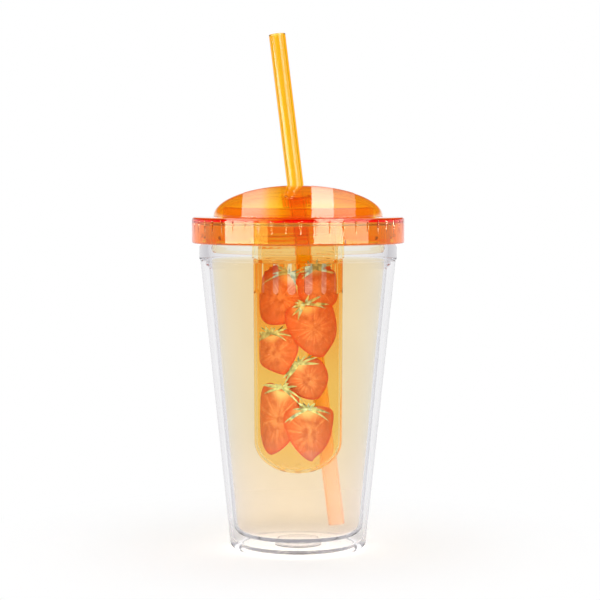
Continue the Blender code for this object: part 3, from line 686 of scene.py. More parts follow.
def fruit_finish(name, colours):
    """Cut fruit, whose attribute berry_place holds (across, up, side) with 1 at the rim.

    Streaks run out from a paler core, the top is pale round the crown, and the rim darkens into
    the skin. The attribute berry_seed marks the seeds.
    """
    made, tree, surface, body = new_finish(name)
    spot = marked(tree, "berry_place", "Vector")
    parts = node(tree, "SeparateXYZ", {"Vector": spot}).outputs
    flat = node(tree, "CombineXYZ", {"X": parts["X"], "Y": parts["Y"]}).outputs["Vector"]
    reach = vector_math(tree, "LENGTH", "Value", flat)
    heading = vector_math(tree, "NORMALIZE", "Vector", flat)
    streaks = noise(tree, vector_math(tree, "ADD", "Vector", heading, body), 9.0, 3.0)
    blotches = noise(tree, body, 330.0, 4.0)
    wander = compute(tree, "MULTIPLY_ADD", streaks, 1.5, compute(tree, "MULTIPLY_ADD", reach, 0.7, -0.2))
    wander = compute(tree, "MULTIPLY_ADD", blotches, 0.35, wander)
    flesh = mixed(tree, spread(tree, wander, 0.66, 1.34), shade(colours.core), shade(colours.flesh))
    flesh = mixed(tree, spread(tree, blotches, 0.30, 0.62), shade(colours.flesh, 0.80), flesh)
    crown = vector_math(tree, "DISTANCE", "Value", flat, (0.0, 1.0, 0.0))
    flesh = mixed(tree, spread(tree, crown, 0.10, 0.60, 0.85, 0.0), flesh, shade(colours.pith))
    rim = spread(tree, compute(tree, "MULTIPLY_ADD", streaks, 0.05, reach), 0.86, 1.0, 0.0, 0.85)
    peel = mixed(tree, compute(tree, "MAXIMUM", rim, parts["Z"]), flesh, shade(colours.skin))
    seeds = marked(tree, "berry_seed", "Fac")
    feed(tree, surface, {"Base Color": mixed(tree, seeds, peel, shade(colours.seed)), "Roughness": 0.4})
    ripple(tree, surface, wander, 0.35, 0.0005)
    return made


def leaf_finish(name, tone):
    """Leaf green that wanders in tone, with a fine grain."""
    made, tree, surface, place = new_finish(name)
    patches = noise(tree, place, 420.0, 4.0)
    feed(tree, surface, {
        "Base Color": mixed(tree, spread(tree, patches, 0.3, 0.7), shade(tone, 0.5), shade(tone, 1.5)),
        "Roughness": 0.5,
    })
    ripple(tree, surface, patches, 0.4, 0.0002)
    return made


# The cup

def outer_wall_radius(cup, height):
    """Outside radius of the outer wall's straight line at a height."""
    share = (height - cup.base_corner) / (OUTER_CUP.top - cup.base_corner)
    return OUTER_CUP.radius - cup.base_setback * (1 - share)


def inner_wall_radius(cup, height):
    """Outside radius of the inner wall at a height: the air gap widens evenly from floor to collar."""
    floor = INNER_CUP.bottom + cup.inner_floor
    share = (height - floor) / (OUTER_CUP.top - floor)
    gap = cup.gap_base + share * (cup.gap_top - cup.gap_base)
    return outer_wall_radius(cup, height) - cup.outer_wall - gap


def cup_bore(cup, height):
    """Radius of the space for the drink at a height."""
    return inner_wall_radius(cup, height) - cup.inner_wall


def lug_window(lid, angles, first):
    """1 inside each lug's stretch of angle and 0 outside, with steep flanks."""
    pitch = TURN / lid.lug_count
    away = np.abs((angles - first + pitch / 2) % pitch - pitch / 2)
    return np.clip((lid.lug_angle / 2 - away) / LUG_FLANK + 0.5, 0, 1)


class TUMBLER_OT_outer_cup(bpy.types.Operator):
    """Makes the clear outer wall with its foot ring, and the plug in its floor"""

    bl_idname = "tumbler.outer_cup"
    bl_label = "Outer Cup and Plug"

    def execute(self, context):
        cup, colours = chosen("cup", "colours")
        floor_top = cup.foot_recess + cup.outer_floor
        foot_inner = outer_wall_radius(cup, cup.base_corner) - cup.base_corner - cup.foot_width
        hole = BASE_PLUG.radius - cup.plug_lip
        outline = rounded([
            (OUTER_CUP.radius, OUTER_CUP.top),
            (outer_wall_radius(cup, 0), 0),
            (foot_inner, 0),
            (foot_inner - cup.foot_recess / 2, cup.foot_recess),
            (hole, cup.foot_recess),
            (hole, floor_top),
            (outer_wall_radius(cup, floor_top) - cup.outer_wall, floor_top),
            (OUTER_CUP.radius - cup.outer_wall, OUTER_CUP.top),
        ], [
            SOFT_EDGE, cup.base_corner, SOFT_EDGE, SOFT_EDGE,
            CRISP_EDGE, CRISP_EDGE, cup.base_corner, SOFT_EDGE,
        ])
        # The tone at the foot is painted shade: a grey that darkens the clear wall towards the table
        finish = dyed_plastic("clear_outer", colours, [low_tone("clear_foot_painted_shade", FOOT_SHADE_FADE)])
        wall = turned_piece(
            "outer_cup_wall", outline, finish, "cup", ["outer_cup"], CUP_COLUMNS,
        )

        shank = hole - TOUCH_GAP
        flange_top = cup.foot_recess - TOUCH_GAP
        outline = rounded([
            (0, BASE_PLUG.top),
            (shank, BASE_PLUG.top),
            (shank, flange_top),
            (BASE_PLUG.radius, flange_top),
            (BASE_PLUG.radius, BASE_PLUG.bottom),
            (0, BASE_PLUG.bottom),
        ], CRISP_EDGE, closed=False)
        finish = dyed_plastic("clear_plug", colours)
        plug = turned_piece("floor_plug", outline, finish, "cup", ["base_plug"])
        no_shadow(wall, plug)
        return {"FINISHED"}


class TUMBLER_OT_inner_cup(bpy.types.Operator):
    """Makes the clear inner wall with its collar and lugged neck"""

    bl_idname = "tumbler.inner_cup"
    bl_label = "Inner Cup"

    def execute(self, context):
        cup, lid, colours = chosen("cup", "lid", "colours")
        floor_top = INNER_CUP.bottom + cup.inner_floor
        neck = INNER_CUP.radius - cup.neck_setback
        neck_bore = neck - cup.neck_wall
        lug_top = LIP_TOP - lid.lug_drop
        lug_low = lug_top - lid.lug_height
        tongue = OUTER_CUP.radius - cup.outer_wall - 2 * TOUCH_GAP
        tongue_bottom = COLLAR_BOTTOM - cup.tongue
        tongue_low = outer_wall_radius(cup, tongue_bottom) - cup.outer_wall - 2 * TOUCH_GAP
        tongue_end = tongue_bottom - (cup.gap_top - 2 * TOUCH_GAP)
        upper = rounded([
            (0, floor_top),
            (cup_bore(cup, floor_top), floor_top),
            (cup_bore(cup, COLLAR_BOTTOM), COLLAR_BOTTOM),
            (neck_bore, COLLAR_TOP),
            (neck_bore, LIP_TOP),
            (neck, LIP_TOP),
            (neck, lug_top + FLANK),
        ], [0, cup.inner_corner, BORE_BEND, BORE_BEND, cup.lip_round, cup.lip_round, 0], closed=False)
        lower = rounded([
            (neck, lug_low - FLANK),
            (neck, COLLAR_TOP),
            (INNER_CUP.radius, COLLAR_TOP),
            (INNER_CUP.radius, COLLAR_BOTTOM),
            (tongue, COLLAR_BOTTOM),
            (tongue_low, tongue_bottom),
            (inner_wall_radius(cup, tongue_end), tongue_end),
            (inner_wall_radius(cup, INNER_CUP.bottom), INNER_CUP.bottom),
            (0, INNER_CUP.bottom),
        ], [
            0, SOFT_EDGE, cup.collar_round, SOFT_EDGE, CRISP_EDGE, SOFT_EDGE, BLUNT_EDGE,
            cup.inner_corner + cup.inner_wall, 0,
        ], closed=False)
        outline, part = joined(upper, [(neck, lug_top), (neck, lug_low)], lower)
        lift = (part == 1)[:, None] * lid.lug_reach * lug_window(lid, around(CUP_COLUMNS), 0)
        finish = dyed_plastic("clear_inner", colours)
        no_shadow(turned_piece(
            "inner_cup_wall", outline, finish, "cup", ["inner_cup"], CUP_COLUMNS, lift=lift,
        ))
        return {"FINISHED"}


# The lid

def straw_axes():
    """The straw joint's place, and three directions: two across the straw and one up along it."""
    along = unit(np.array(STRAW_JOINT["axis"], float))
    side = np.array([1.0, 0.0, 0.0])
    side = unit(side - along * side.dot(along))
    return np.array(STRAW_JOINT["pos_m"], float), np.array([side, np.cross(along, side), along])


def straw_circle(height, radius, angles):
    """A level ring round the straw's line at a height."""
    place, axes = straw_axes()
    middle = place + axes[2] * (height - place[2]) / axes[2][2]
    return middle + circle(angles) * radius


def groove_angles(lid):
    """Angles that crowd round each groove: in each pitch the place t goes to t/4 + 3 t^3."""
    share = np.arange(GROOVE_COLUMNS) / GROOVE_COLUMNS - 0.5
    crowded = 0.25 * share + 3 * share**3
    return (lid.grip_phase + TURN * (np.arange(lid.grip_count)[:, None] + crowded) / lid.grip_count).ravel()


class TUMBLER_OT_lid_base(bpy.types.Operator):
    """Makes the gripped skirt, the plate and the upright ring, in one piece"""

    bl_idname = "tumbler.lid_base"
    bl_label = "Lid Base"

    def execute(self, context):
        lid, straw, colours = chosen("lid", "straw", "colours")
        rim = LID_BASE.radius
        bore = rim - lid.skirt_wall
        level = lid.ring_height / (DOME.top - DOME.bottom - lid.dome_wall)
        ring = (DOME.radius - lid.dome_wall) * math.sqrt(1 - level**2) - lid.ring_gap
        ring_inner = ring - lid.ring_wall
        ring_top = PLATE_TOP + lid.ring_height
        groove_top = PLATE_TOP - lid.grip_drop
        groove_end = groove_top - lid.grip_length
        lug_top = LIP_TOP - lid.lug_drop - lid.lug_height - TOUCH_GAP
        lug_low = lug_top - lid.lug_height
        angles = groove_angles(lid)
        hole = straw.radius + lid.hole_gap

        top = rounded([
            (ring_inner - PLATE_EDGE, PLATE_TOP),
            (ring_inner, PLATE_TOP),
            (ring_inner, ring_top),
            (ring, ring_top),
            (ring, PLATE_TOP),
            (rim, PLATE_TOP),
            (rim, groove_top + FLANK),
        ], [0, FILLET, SOFT_EDGE, SOFT_EDGE, FILLET, lid.rim_round, 0], closed=False)
        share = np.linspace(0, 1, GROOVE_ROWS)
        grooves = np.stack([np.full(GROOVE_ROWS, rim), groove_top - share * lid.grip_length], axis=-1)
        bottom = rounded([
            (rim, groove_end - PLAIN_EDGE),
            (rim, LID_BASE.bottom),
            (bore, LID_BASE.bottom),
            (bore, lug_low - FLANK),
        ], [0, SKIRT_EDGE, SOFT_EDGE, 0], closed=False)
        under = rounded([
            (bore, lug_top + FLANK),
            (bore, PLATE_BOTTOM),
            (ring_inner - PLATE_EDGE, PLATE_BOTTOM),
        ], [0, BLUNT_EDGE, 0], closed=False)
        outline, part = joined(top, grooves, bottom, [(bore, lug_low), (bore, lug_top)], under)
        lift = np.zeros((len(outline), len(angles)))
        pitch = TURN / lid.grip_count
        aside = np.abs((angles - lid.grip_phase + pitch / 2) % pitch - pitch / 2) * rim
        left = (1 - share)[:, None]
        lift[part == 1] = -lid.grip_depth * np.clip(left - aside / (lid.grip_width / 2), 0, 1)
        lift[part == 3] = -lid.lug_reach * lug_window(lid, angles, math.pi / lid.lug_count)
        rows = turned(outline, angles, lift=lift)
        high_hole = straw_circle(PLATE_TOP, hole, angles)
        low_hole = straw_circle(PLATE_BOTTOM, hole, angles)
        rows = np.concatenate([
            blended(high_hole, rows[0], PLATE_SHARES), rows,
            blended(low_hole, rows[-1], PLATE_SHARES)[::-1],
        ])
        finish = dyed_plastic("orange_lid", colours)
        make_piece("lid_skirt_and_plate", [body_of(rows)], finish, "lid", ["lid_base"])
        return {"FINISHED"}


def thread_lift(infuser, heights, start):
    """How far a screw ridge stands out at each height and angle, from 0 to 1.

    The ridge's middle climbs one lead a turn. Its height falls from 1 over its crest to 0 at its
    root, and it fades in and out over a twelfth of a turn at its two ends.
    """
    turns = (heights[:, None] - start) / infuser.thread_lead
    round_share = around(THREAD_COLUMNS) / TURN
    nearest = np.clip(np.round(turns - round_share), 0, infuser.thread_turns - 1)
    along = round_share + nearest
    away = np.abs(turns - along) * infuser.thread_lead
    flank = (infuser.thread_root - infuser.thread_crest) / 2
    ridge = np.clip((infuser.thread_root / 2 - away) / flank, 0, 1)
    return ridge * np.clip(np.minimum(along, infuser.thread_turns - along) * 12, 0, 1)


class TUMBLER_OT_lid_rings(bpy.types.Operator):
    """Makes the plug ring and the threaded socket under the plate, and the two seals"""

    bl_idname = "tumbler.lid_rings"
    bl_label = "Plug Ring, Socket and Seals"

    def execute(self, context):
        lid, infuser, colours = chosen("lid", "infuser", "colours")
        bore = PLUG_RING.radius - lid.plug_wall
        outline = rounded([
            (PLUG_RING.radius, PLUG_RING.top),
            (PLUG_RING.radius, PLUG_RING.bottom + 2 * lid.plug_taper),
            (PLUG_RING.radius - lid.plug_taper, PLUG_RING.bottom),
            (bore, PLUG_RING.bottom),
            (bore, PLUG_RING.top),
        ], PLAIN_EDGE)
        finish = dyed_plastic("orange_plug_ring", colours)
        turned_piece("neck_plug_ring", outline, finish, "lid", ["plug_ring"])

        bore = SOCKET.radius - infuser.socket_wall
        start = SHOULDER_TOP + infuser.thread_start + infuser.thread_lead / 2
        ends = rounded([
            (bore, SOCKET.top - 2 * PLAIN_END),
            (bore, SOCKET.top),
            (SOCKET.radius, SOCKET.top),
            (SOCKET.radius, SOCKET.bottom),
            (bore, SOCKET.bottom),
            (bore, SOCKET.bottom + PLAIN_END),
        ], PLAIN_EDGE, closed=False)
        outline, part = joined(ends, straight(ends[-1], ends[0], THREAD_STEP))
        lift = -infuser.thread_reach * thread_lift(infuser, outline[:, 1], start) * (part == 1)[:, None]
        finish = dyed_plastic("orange_socket", colours)
        turned_piece(
            "basket_socket", outline, finish, "lid", ["infuser_socket"],
            THREAD_COLUMNS, (SOCKET.x, SOCKET.y, 0), lift=lift,
        )

        rubber = soft_rubber("seal_ring", colours.seal)
        for name, node_name, seal, inner in (
            ("lip_seal", "lid_seal", LID_SEAL, PLUG_RING.radius + TOUCH_GAP),
            ("basket_seal", "infuser_seal", INFUSER_SEAL, INFUSER_SEAL.radius - infuser.wall),
        ):
            outline = ring_section(seal.radius, inner, seal.bottom, seal.top, SOFT_EDGE)
            turned_piece(
                name, outline, rubber, node_name, [node_name], base=(seal.x, seal.y, 0),
            )
        return {"FINISHED"}


def dome_height_at(plan, radius, rise):
    """Height of an upright ellipsoid over points of the plan."""
    inside = 1 - (plan[..., 0]**2 + plan[..., 1]**2) / radius**2
    return DOME.bottom + rise * np.sqrt(np.clip(inside, 0, 1))


def dome_shell(edge, radius, rise, angles):
    """Rings over an ellipsoid, from an edge round the straw out to its foot, crowded at the foot."""
    shares = np.sin(np.linspace(0, math.pi / 2, DOME_ROWS))
    plan = blended(edge, circle(angles) * radius, shares[1:])
    plan[..., 2] = dome_height_at(plan, radius, rise)
    return plan


def meets_dome(place, axes, tube_radius, angles, radius, rise):
    """Where a round tube along the straw's line meets an ellipsoid.

    With every length divided by the ellipsoid's radii it is a unit ball, and each straight line of
    the tube meets the ball at the upper root of a quadratic.
    """
    stretch = np.array([1 / radius, 1 / radius, 1 / rise])
    start = place + tube_radius * (np.cos(angles)[:, None] * axes[0] + np.sin(angles)[:, None] * axes[1])
    begin = (start - [0, 0, DOME.bottom]) * stretch
    step = axes[2] * stretch
    half_b = begin @ step
    root = np.sqrt(half_b**2 - step @ step * ((begin**2).sum(1) - 1))
    return start + axes[2] * ((root - half_b) / (step @ step))[:, None]


class TUMBLER_OT_dome(bpy.types.Operator):
    """Makes the low dome with its boss and the grommet's seat"""

    bl_idname = "tumbler.dome"
    bl_label = "Dome"

    def execute(self, context):
        lid, straw, colours = chosen("lid", "straw", "colours")
        place, axes = straw_axes()
        angles = around(CUP_COLUMNS)
        outer = (DOME.radius, DOME.top - DOME.bottom)
        inner = (DOME.radius - lid.dome_wall, DOME.top - DOME.bottom - lid.dome_wall)
        sleeve = straw.radius + straw.running_gap + straw.grommet_wall
        spot = sleeve + straw.flange_reach + TOUCH_GAP
        hole = sleeve + TOUCH_GAP
        spot_edge = meets_dome(place, axes, spot, angles, *outer)
        boss_edge = meets_dome(place, axes, lid.boss_radius, angles, *inner)
        seat = turned(np.array([
            (lid.boss_radius, -lid.boss_depth),
            (hole, -lid.boss_depth),
            (hole, -lid.spot_depth),
            (spot, -lid.spot_depth),
        ]), angles, place, axes)
        rows = np.concatenate([
            spot_edge[None], dome_shell(spot_edge, *outer, angles),
            dome_shell(boss_edge, *inner, angles)[::-1], boss_edge[None], seat,
        ])
        finish = dyed_plastic("orange_dome", colours)
        dome = make_piece("dome_shell", [body_of(rows)], finish, "lid", ["lid_dome"])
        edge = dome.modifiers.new("edge_round", "BEVEL")
        edge.width = DOME_EDGE
        edge.segments = 2
        edge.angle_limit = math.radians(40)
        return {"FINISHED"}


# The straw

class TUMBLER_OT_straw(bpy.types.Operator):
    """Makes the straw and the flanged grommet that it runs through"""

    bl_idname = "tumbler.straw"
    bl_label = "Straw and Grommet"

    def execute(self, context):
        cup, lid, straw, colours = chosen("cup", "lid", "straw", "colours")
        place, axes = straw_axes()
        low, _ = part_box("straw")
        end_drop = straw.radius * math.sqrt(1 - axes[2][2]**2)
        bottom = (low.z + end_drop - place[2]) / axes[2][2]
        outline = ring_section(
            straw.radius, straw.radius - straw.wall, bottom, bottom + straw.length, PLAIN_EDGE,
        )
        tones = [low_tone("straw_low", STRAW_FADE, cup.fill_height)]
        finish = dyed_plastic("orange_straw", colours, tones)
        turned_piece(
            "straw_tube", outline, finish, "straw", ["straw"], STRAW_COLUMNS, place, axes,
        )

        bore = straw.radius + straw.running_gap
        sleeve = bore + straw.grommet_wall
        flange = sleeve + straw.flange_reach
        face = -lid.spot_depth + TOUCH_GAP
        boss_end = -lid.boss_depth - TOUCH_GAP
        outline = rounded([
            (flange, face + straw.flange_thickness),
            (flange, face),
            (sleeve, face),
            (sleeve, boss_end),
            (flange, boss_end),
            (flange, boss_end - straw.flange_thickness),
            (bore, boss_end - straw.flange_thickness),
            (bore, face + straw.flange_thickness),
        ], CRISP_EDGE)
        finish = dyed_plastic("grommet_sleeve", colours)
        turned_piece(
            "straw_seat", outline, finish, "straw_grommet", ["straw_grommet"],
            STRAW_COLUMNS, place, axes,
        )
        return {"FINISHED"}


# The infuser

def basket_bore(infuser, height):
    """Inside radius of the basket's straight wall at a height."""
    foot = BASKET.bottom + infuser.end_height
    share = (height - foot) / (SHOULDER_TOP - foot)
    return BASKET.radius - infuser.wall - infuser.taper * (1 - share)


def slot_bodies(infuser):
    """Closed prisms for the slots: a round-ended outline carried from inside the wall to outside it."""
    half = infuser.slot_width / 2
    top = SHOULDER_TOP - infuser.slot_drop - half
    bottom = SHOULDER_TOP - infuser.slot_drop - infuser.slot_length + half
    sweep = np.linspace(0, math.pi, SLOT_END_STEPS)
    across = np.concatenate([np.cos(sweep), np.cos(sweep + math.pi)]) * half
    up = np.concatenate([top + np.sin(sweep) * half, bottom + np.sin(sweep + math.pi) * half])
    bodies = []
    for slot in range(infuser.slot_count):
        turn = infuser.slot_phase + TURN * slot / infuser.slot_count
        out = np.array([math.cos(turn), math.sin(turn), 0])
        side = np.array([-math.sin(turn), math.cos(turn), 0])
        outline = np.array([BASKET.x, BASKET.y, 0]) + (across[:, None] * side + up[:, None] * UP)
        inner = BASKET.radius - infuser.wall - SLOT_SPARE
        bodies.append(rod(outline, inner, BASKET.radius + SLOT_SPARE, out))
    return bodies


def drain_bodies(infuser):
    """Closed upright rods for the drain holes."""
    ring = circle(around(DRAIN_COLUMNS)) * infuser.drain_radius
    places = np.vstack([(0, 0, 0), circle(around(infuser.drain_count)) * infuser.drain_circle])
    low = BASKET.bottom - DRAIN_SPARE
    high = BASKET.bottom + infuser.end_height
    return [rod(np.array([BASKET.x, BASKET.y, 0]) + place + ring, low, high, UP) for place in places]


def cut_away(piece, bodies):
    """Cuts closed bodies out of a piece with an exact Boolean, and removes the cutter."""
    tool = make_piece("cutter", bodies, piece.data.materials[0], "infuser")
    step = piece.modifiers.new("openings", "BOOLEAN")
    step.operation = "DIFFERENCE"
    step.solver = "EXACT"
    step.object = tool
    bpy.context.view_layer.update()
    cut = bpy.data.meshes.new_from_object(piece.evaluated_get(bpy.context.evaluated_depsgraph_get()))
    piece.modifiers.remove(step)
    piece.data = cut
    shade_soft(cut)
    bpy.data.objects.remove(tool)


class TUMBLER_OT_basket(bpy.types.Operator):
    """Makes the infuser basket: threaded neck, slotted straight wall and rounded end with drains"""

    bl_idname = "tumbler.basket"
    bl_label = "Infuser Basket"

    def execute(self, context):
        infuser, colours = chosen("infuser", "colours")
        wall = infuser.wall
        neck = INFUSER_SEAL.radius
        neck_bore = neck - wall
        foot = BASKET.bottom + infuser.end_height
        low = BASKET.radius - infuser.taper
        bow = np.linspace(0, math.pi / 2, BASKET_END_ROWS)[1:-1]
        end_out, end_in = (
            np.stack([radius * np.cos(bow), foot - drop * np.sin(bow)], axis=-1)
            for radius, drop in ((low, infuser.end_height), (low - wall, infuser.end_height - wall))
        )
        outside = rounded([
            (neck, SHOULDER_TOP + PLAIN_END),
            (neck, SHOULDER_TOP),
            (BASKET.radius, SHOULDER_TOP),
            (low, foot),
        ], [0, PLAIN_EDGE, SOFT_EDGE, 0], closed=False)
        inside = rounded([
            (low - wall, foot),
            (BASKET.radius - wall, SHOULDER_TOP - wall),
            (neck_bore, SHOULDER_TOP),
            (neck_bore, BASKET.top),
            (neck, BASKET.top),
            (neck, BASKET.top - PLAIN_END),
        ], [0, NECK_BEND, NECK_BEND, PLAIN_EDGE, PLAIN_EDGE, 0], closed=False)
        outline, part = joined(
            (0, BASKET.bottom + wall), end_in[::-1], inside,
            straight(inside[-1], outside[0], THREAD_STEP), outside, end_out, (0, BASKET.bottom),
        )
        start = SHOULDER_TOP + infuser.thread_start
        lift = infuser.thread_reach * thread_lift(infuser, outline[:, 1], start) * (part == 3)[:, None]
        finish = dyed_plastic("orange_basket", colours, [
            low_tone("basket_low", BASKET_FADE, SHOULDER_TOP),
            ("basket_neck", SHOULDER_TOP + wall, SHOULDER_TOP - wall),
        ])
        basket = turned_piece(
            "infuser_basket_wall", outline, finish, "infuser", ["infuser_basket"],
            THREAD_COLUMNS, (BASKET.x, BASKET.y, 0), lift=lift,
        )
        cut_away(basket, slot_bodies(infuser) + drain_bodies(infuser))
        no_shadow(basket)
        return {"FINISHED"}


# The fruit and the drink

Half = namedtuple("Half", "x height width length tilt point layer face")

FRONT = -1
BACK = 1

# Halved strawberries at the front: place across and up, width, length, tilt in degrees, how
# pointed, how far in from the wall, and the side of the basket
HALVES = [
    Half(-0.0079, 0.1203, 0.0240, 0.0270, -20, 0.30, 0.0007, FRONT),
    Half(0.0096, 0.1246, 0.0190, 0.0220, 10, 0.25, 0.0, FRONT),
    Half(0.0073, 0.1062, 0.0240, 0.0270, 20, 0.55, 0.0, FRONT),
    Half(-0.0098, 0.0950, 0.0212, 0.0205, 18, 0.60, 0.0007, FRONT),
    Half(0.0050, 0.0823, 0.0182, 0.0200, 34, 0.50, 0.0024, FRONT),
    Half(-0.0096, 0.0642, 0.0198, 0.0330, -8, 0.40, 0.0007, FRONT),
    Half(0.0055, 0.0577, 0.0242, 0.0258, 6, 1.00, 0.0, FRONT),
]

# Each half has a smaller one behind it, a little lower, at the back of the basket
BEHIND = 0.82
LOWER = 0.0022
HALVES += [
    half._replace(
        height=half.height - LOWER, width=BEHIND * half.width, length=BEHIND * half.length, face=BACK,
    ) for half in HALVES
]

# How far below the shoulder the halves start to step in under the neck, the height over which they
# do, and the room that they leave there
NECK_NEAR = 0.0090
NECK_STEP = 0.0075
NECK_ROOM = 0.0004

# The depth of a half's edge, the swell of its face, how fast its waves shift with its height, its
# rows of seeds with the most in a row, a seed's spread in its cell, and the depth of its dimple
RIM_DEPTH = 0.0006
FACE_SWELL = 0.0005
WAVE_SHIFT = 900
SEED_ROWS = 9
SEEDS_ROUND = 22
SEED_SPREAD = 0.02
SEED_DIMPLE = 0.0002

# How far aside the outermost leaves point, how far the crown lies inside the face's edge, and the
# leaves' waves and layers
LEAF_FAN = math.radians(104)
CROWN_DROP = 0.0006
LEAF_WAVE = 0.0002
LEAF_LAYER = 0.0001


def half_outline(half, angles, fruit):
    """The cut face's outline with its tip down.

    Across it is sin t |sin t|^-0.2 sin(t/2)^point, brought to the width, and up it is
    -cos t |cos t|^-0.15 times half the length. Slow waves make it uneven, and a dip at the top
    takes the crown.
    """
    sine = np.sin(angles)
    across = np.sign(sine) * np.abs(sine)**0.8 * np.abs(np.sin(angles / 2))**half.point
    across = across / np.abs(across).max() * half.width / 2
    uneven = half.height * WAVE_SHIFT
    across = across * (1 + fruit.unevenness * np.sin(2 * angles + uneven))
    cosine = np.cos(angles)
    flattened = np.sign(cosine) * np.abs(cosine)**0.85
    up = -flattened * half.length / 2 * (1 + fruit.unevenness * np.sin(3 * angles + 2 * uneven))
    top = np.clip(-cosine, 0, 1)
    up = up - fruit.dip * half.length * np.exp(-(across / (0.16 * half.width))**2) * top
    return np.stack([across, up], axis=-1)


def onto_wall(half, plan, inward, radius):
    """Tilts points of the face and lays them on the basket's round wall, some way inward from it.

    A place x across is brought inside the wall as x / (1 + |x / limit|^20)^(1/20). Under the neck
    the wall that counts is the neck's.
    """
    tilt = math.radians(half.tilt)
    x = half.x + plan[..., 0] * math.cos(tilt) - plan[..., 1] * math.sin(tilt)
    z = half.height + plan[..., 0] * math.sin(tilt) + plan[..., 1] * math.cos(tilt)
    under_neck = np.clip((z - SHOULDER_TOP + NECK_NEAR) / NECK_STEP, 0, 1)
    under_neck = under_neck**2 * (3 - 2 * under_neck)
    reach = radius - half.layer - under_neck * (BASKET.radius - INFUSER_SEAL.radius + NECK_ROOM)
    x = x / (1 + np.abs(x / (0.995 * reach))**20)**(1 / 20)
    bend = np.sqrt(np.clip(reach**2 - x**2, 0, None))
    y = BASKET.y + half.face * (bend - inward)
    return np.stack([BASKET.x + x, y, z], axis=-1)


def half_body(half, fruit, radius):
    """Points, faces and marks of one halved strawberry.

    The face's rings are the outline scaled by s from 0 to 1. Behind, the ring's scale is cos p and
    its depth sin p, for p from 0 to a right angle, with dimples where the seeds sit.
    """
    angles = around(BERRY_COLUMNS)
    outline = half_outline(half, angles, fruit)
    front = np.linspace(0, 1, FACE_ROWS)[1:]
    turn_in = np.linspace(0, math.pi / 2, BEHIND_ROWS)[1:-1]
    scale = np.concatenate([front, np.cos(turn_in)])
    swell = FACE_SWELL * (1 - front**4)
    depth = np.concatenate([RIM_DEPTH - swell, RIM_DEPTH + fruit.thickness * np.sin(turn_in)])
    row_place = np.concatenate([np.zeros(len(front)), turn_in / (math.pi / 2) * SEED_ROWS])
    side = np.concatenate([np.zeros(len(front)), np.ones(len(turn_in))])
    row_number = np.floor(row_place)
    seeds = np.maximum(6, np.round(SEEDS_ROUND * np.cos((row_number + 0.5) / SEED_ROWS * math.pi / 2)))
    along = (angles[None] / TURN * seeds[:, None] + 0.5 * (row_number % 2)[:, None]) % 1 - 0.5
    across = (row_place % 1)[:, None] - 0.5
    seed = np.exp(-(along**2 + across**2) / SEED_SPREAD) * side[:, None]
    plan = scale[:, None, None] * outline
    rows = onto_wall(half, plan, depth[:, None] - SEED_DIMPLE * seed, radius)
    poles = onto_wall(half, np.zeros((2, 2)), np.array([0.0001, RIM_DEPTH + fruit.thickness]), radius)
    place = np.stack([
        scale[:, None] * np.sin(angles), -scale[:, None] * np.cos(angles), side[:, None] + 0 * angles,
    ], axis=-1).reshape(-1, 3)
    place = np.vstack([place, (0, 0, 0), (0, 0, 1)])
    return body_of(rows, poles), place, np.concatenate([seed.ravel(), [0, 0]])


def leaf_bodies(half, fruit, radius, seed):
    """The green crown: leaves fan out from the top of the face, each a flat tube that narrows to points.

    A leaf's half width is sin(pi u^0.8)^0.7 along its length u, and its line droops aside as u
    squared. The leaves in the middle are the shortest.
    """
    draws = np.random.default_rng(seed)
    u = np.linspace(0.02, 0.98, LEAF_ROWS)[:, None]
    v = around(LEAF_COLUMNS)[None]
    bodies = []
    root = np.array([0.0, half.length * (0.5 - fruit.dip) - CROWN_DROP])
    for leaf in range(fruit.leaf_count):
        fan = 2 * leaf / (fruit.leaf_count - 1) - 1
        heading = LEAF_FAN * math.copysign(abs(fan)**0.6, fan) + draws.uniform(-0.2, 0.2)
        length = fruit.leaf_length * (0.3 + 0.7 * abs(fan)) * draws.uniform(0.6, 1.25)
        width = fruit.leaf_width * draws.uniform(0.7, 1.2)
        droop = fan * draws.uniform(0.1, 0.6) * length
        out = np.array([math.sin(heading), math.cos(heading)])
        side = np.array([out[1], -out[0]])
        half_width = np.sin(math.pi * u**0.8)**0.7 * width / 2
        spine = root + u[..., None] * length * out + (u**2)[..., None] * droop * side
        plan = spine + (half_width * np.cos(v))[..., None] * side
        lift = fruit.leaf_thickness / 2 * np.sin(v) * np.sin(math.pi * u)**0.3
        wave = LEAF_WAVE * np.sin(9 * u + leaf)
        rows = onto_wall(half, plan, lift + wave + LEAF_LAYER * (leaf % 3), radius)
        ends = np.stack([root, root + length * out + droop * side])
        bodies.append(body_of(rows, onto_wall(half, ends, np.zeros(2), radius)))
    return bodies


def set_mark(piece, name, kind, field, values):
    """Stores values on a mesh's points, as an attribute that a finish reads."""
    mark = piece.data.attributes.new(name, kind, "POINT")
    mark.data.foreach_set(field, values.astype(np.float32).ravel())


class TUMBLER_OT_strawberries(bpy.types.Operator):
    """Makes the halved strawberries with their green crowns, pressed to the basket's wall"""

    bl_idname = "tumbler.strawberries"
    bl_label = "Strawberries"

    def execute(self, context):
        fruit, infuser, colours = chosen("fruit", "infuser", "colours")
        flesh = fruit_finish("cut_strawberry", colours)
        green = leaf_finish("strawberry_leaf", colours.leaf)
        for order, half in enumerate(HALVES, 1):
            radius = basket_bore(infuser, half.height) - fruit.wall_gap
            body, place, seed = half_body(half, fruit, radius)
            berry = make_piece(f"strawberry_half_{order}", [body], flesh, "infuser")
            set_mark(berry, "berry_place", "FLOAT_VECTOR", "vector", place)
            set_mark(berry, "berry_seed", "FLOAT", "value", seed)
            leaves = leaf_bodies(half, fruit, radius + fruit.wall_gap / 2, order)
            make_piece(f"strawberry_leaves_{order}", leaves, green, "infuser")
        return {"FINISHED"}


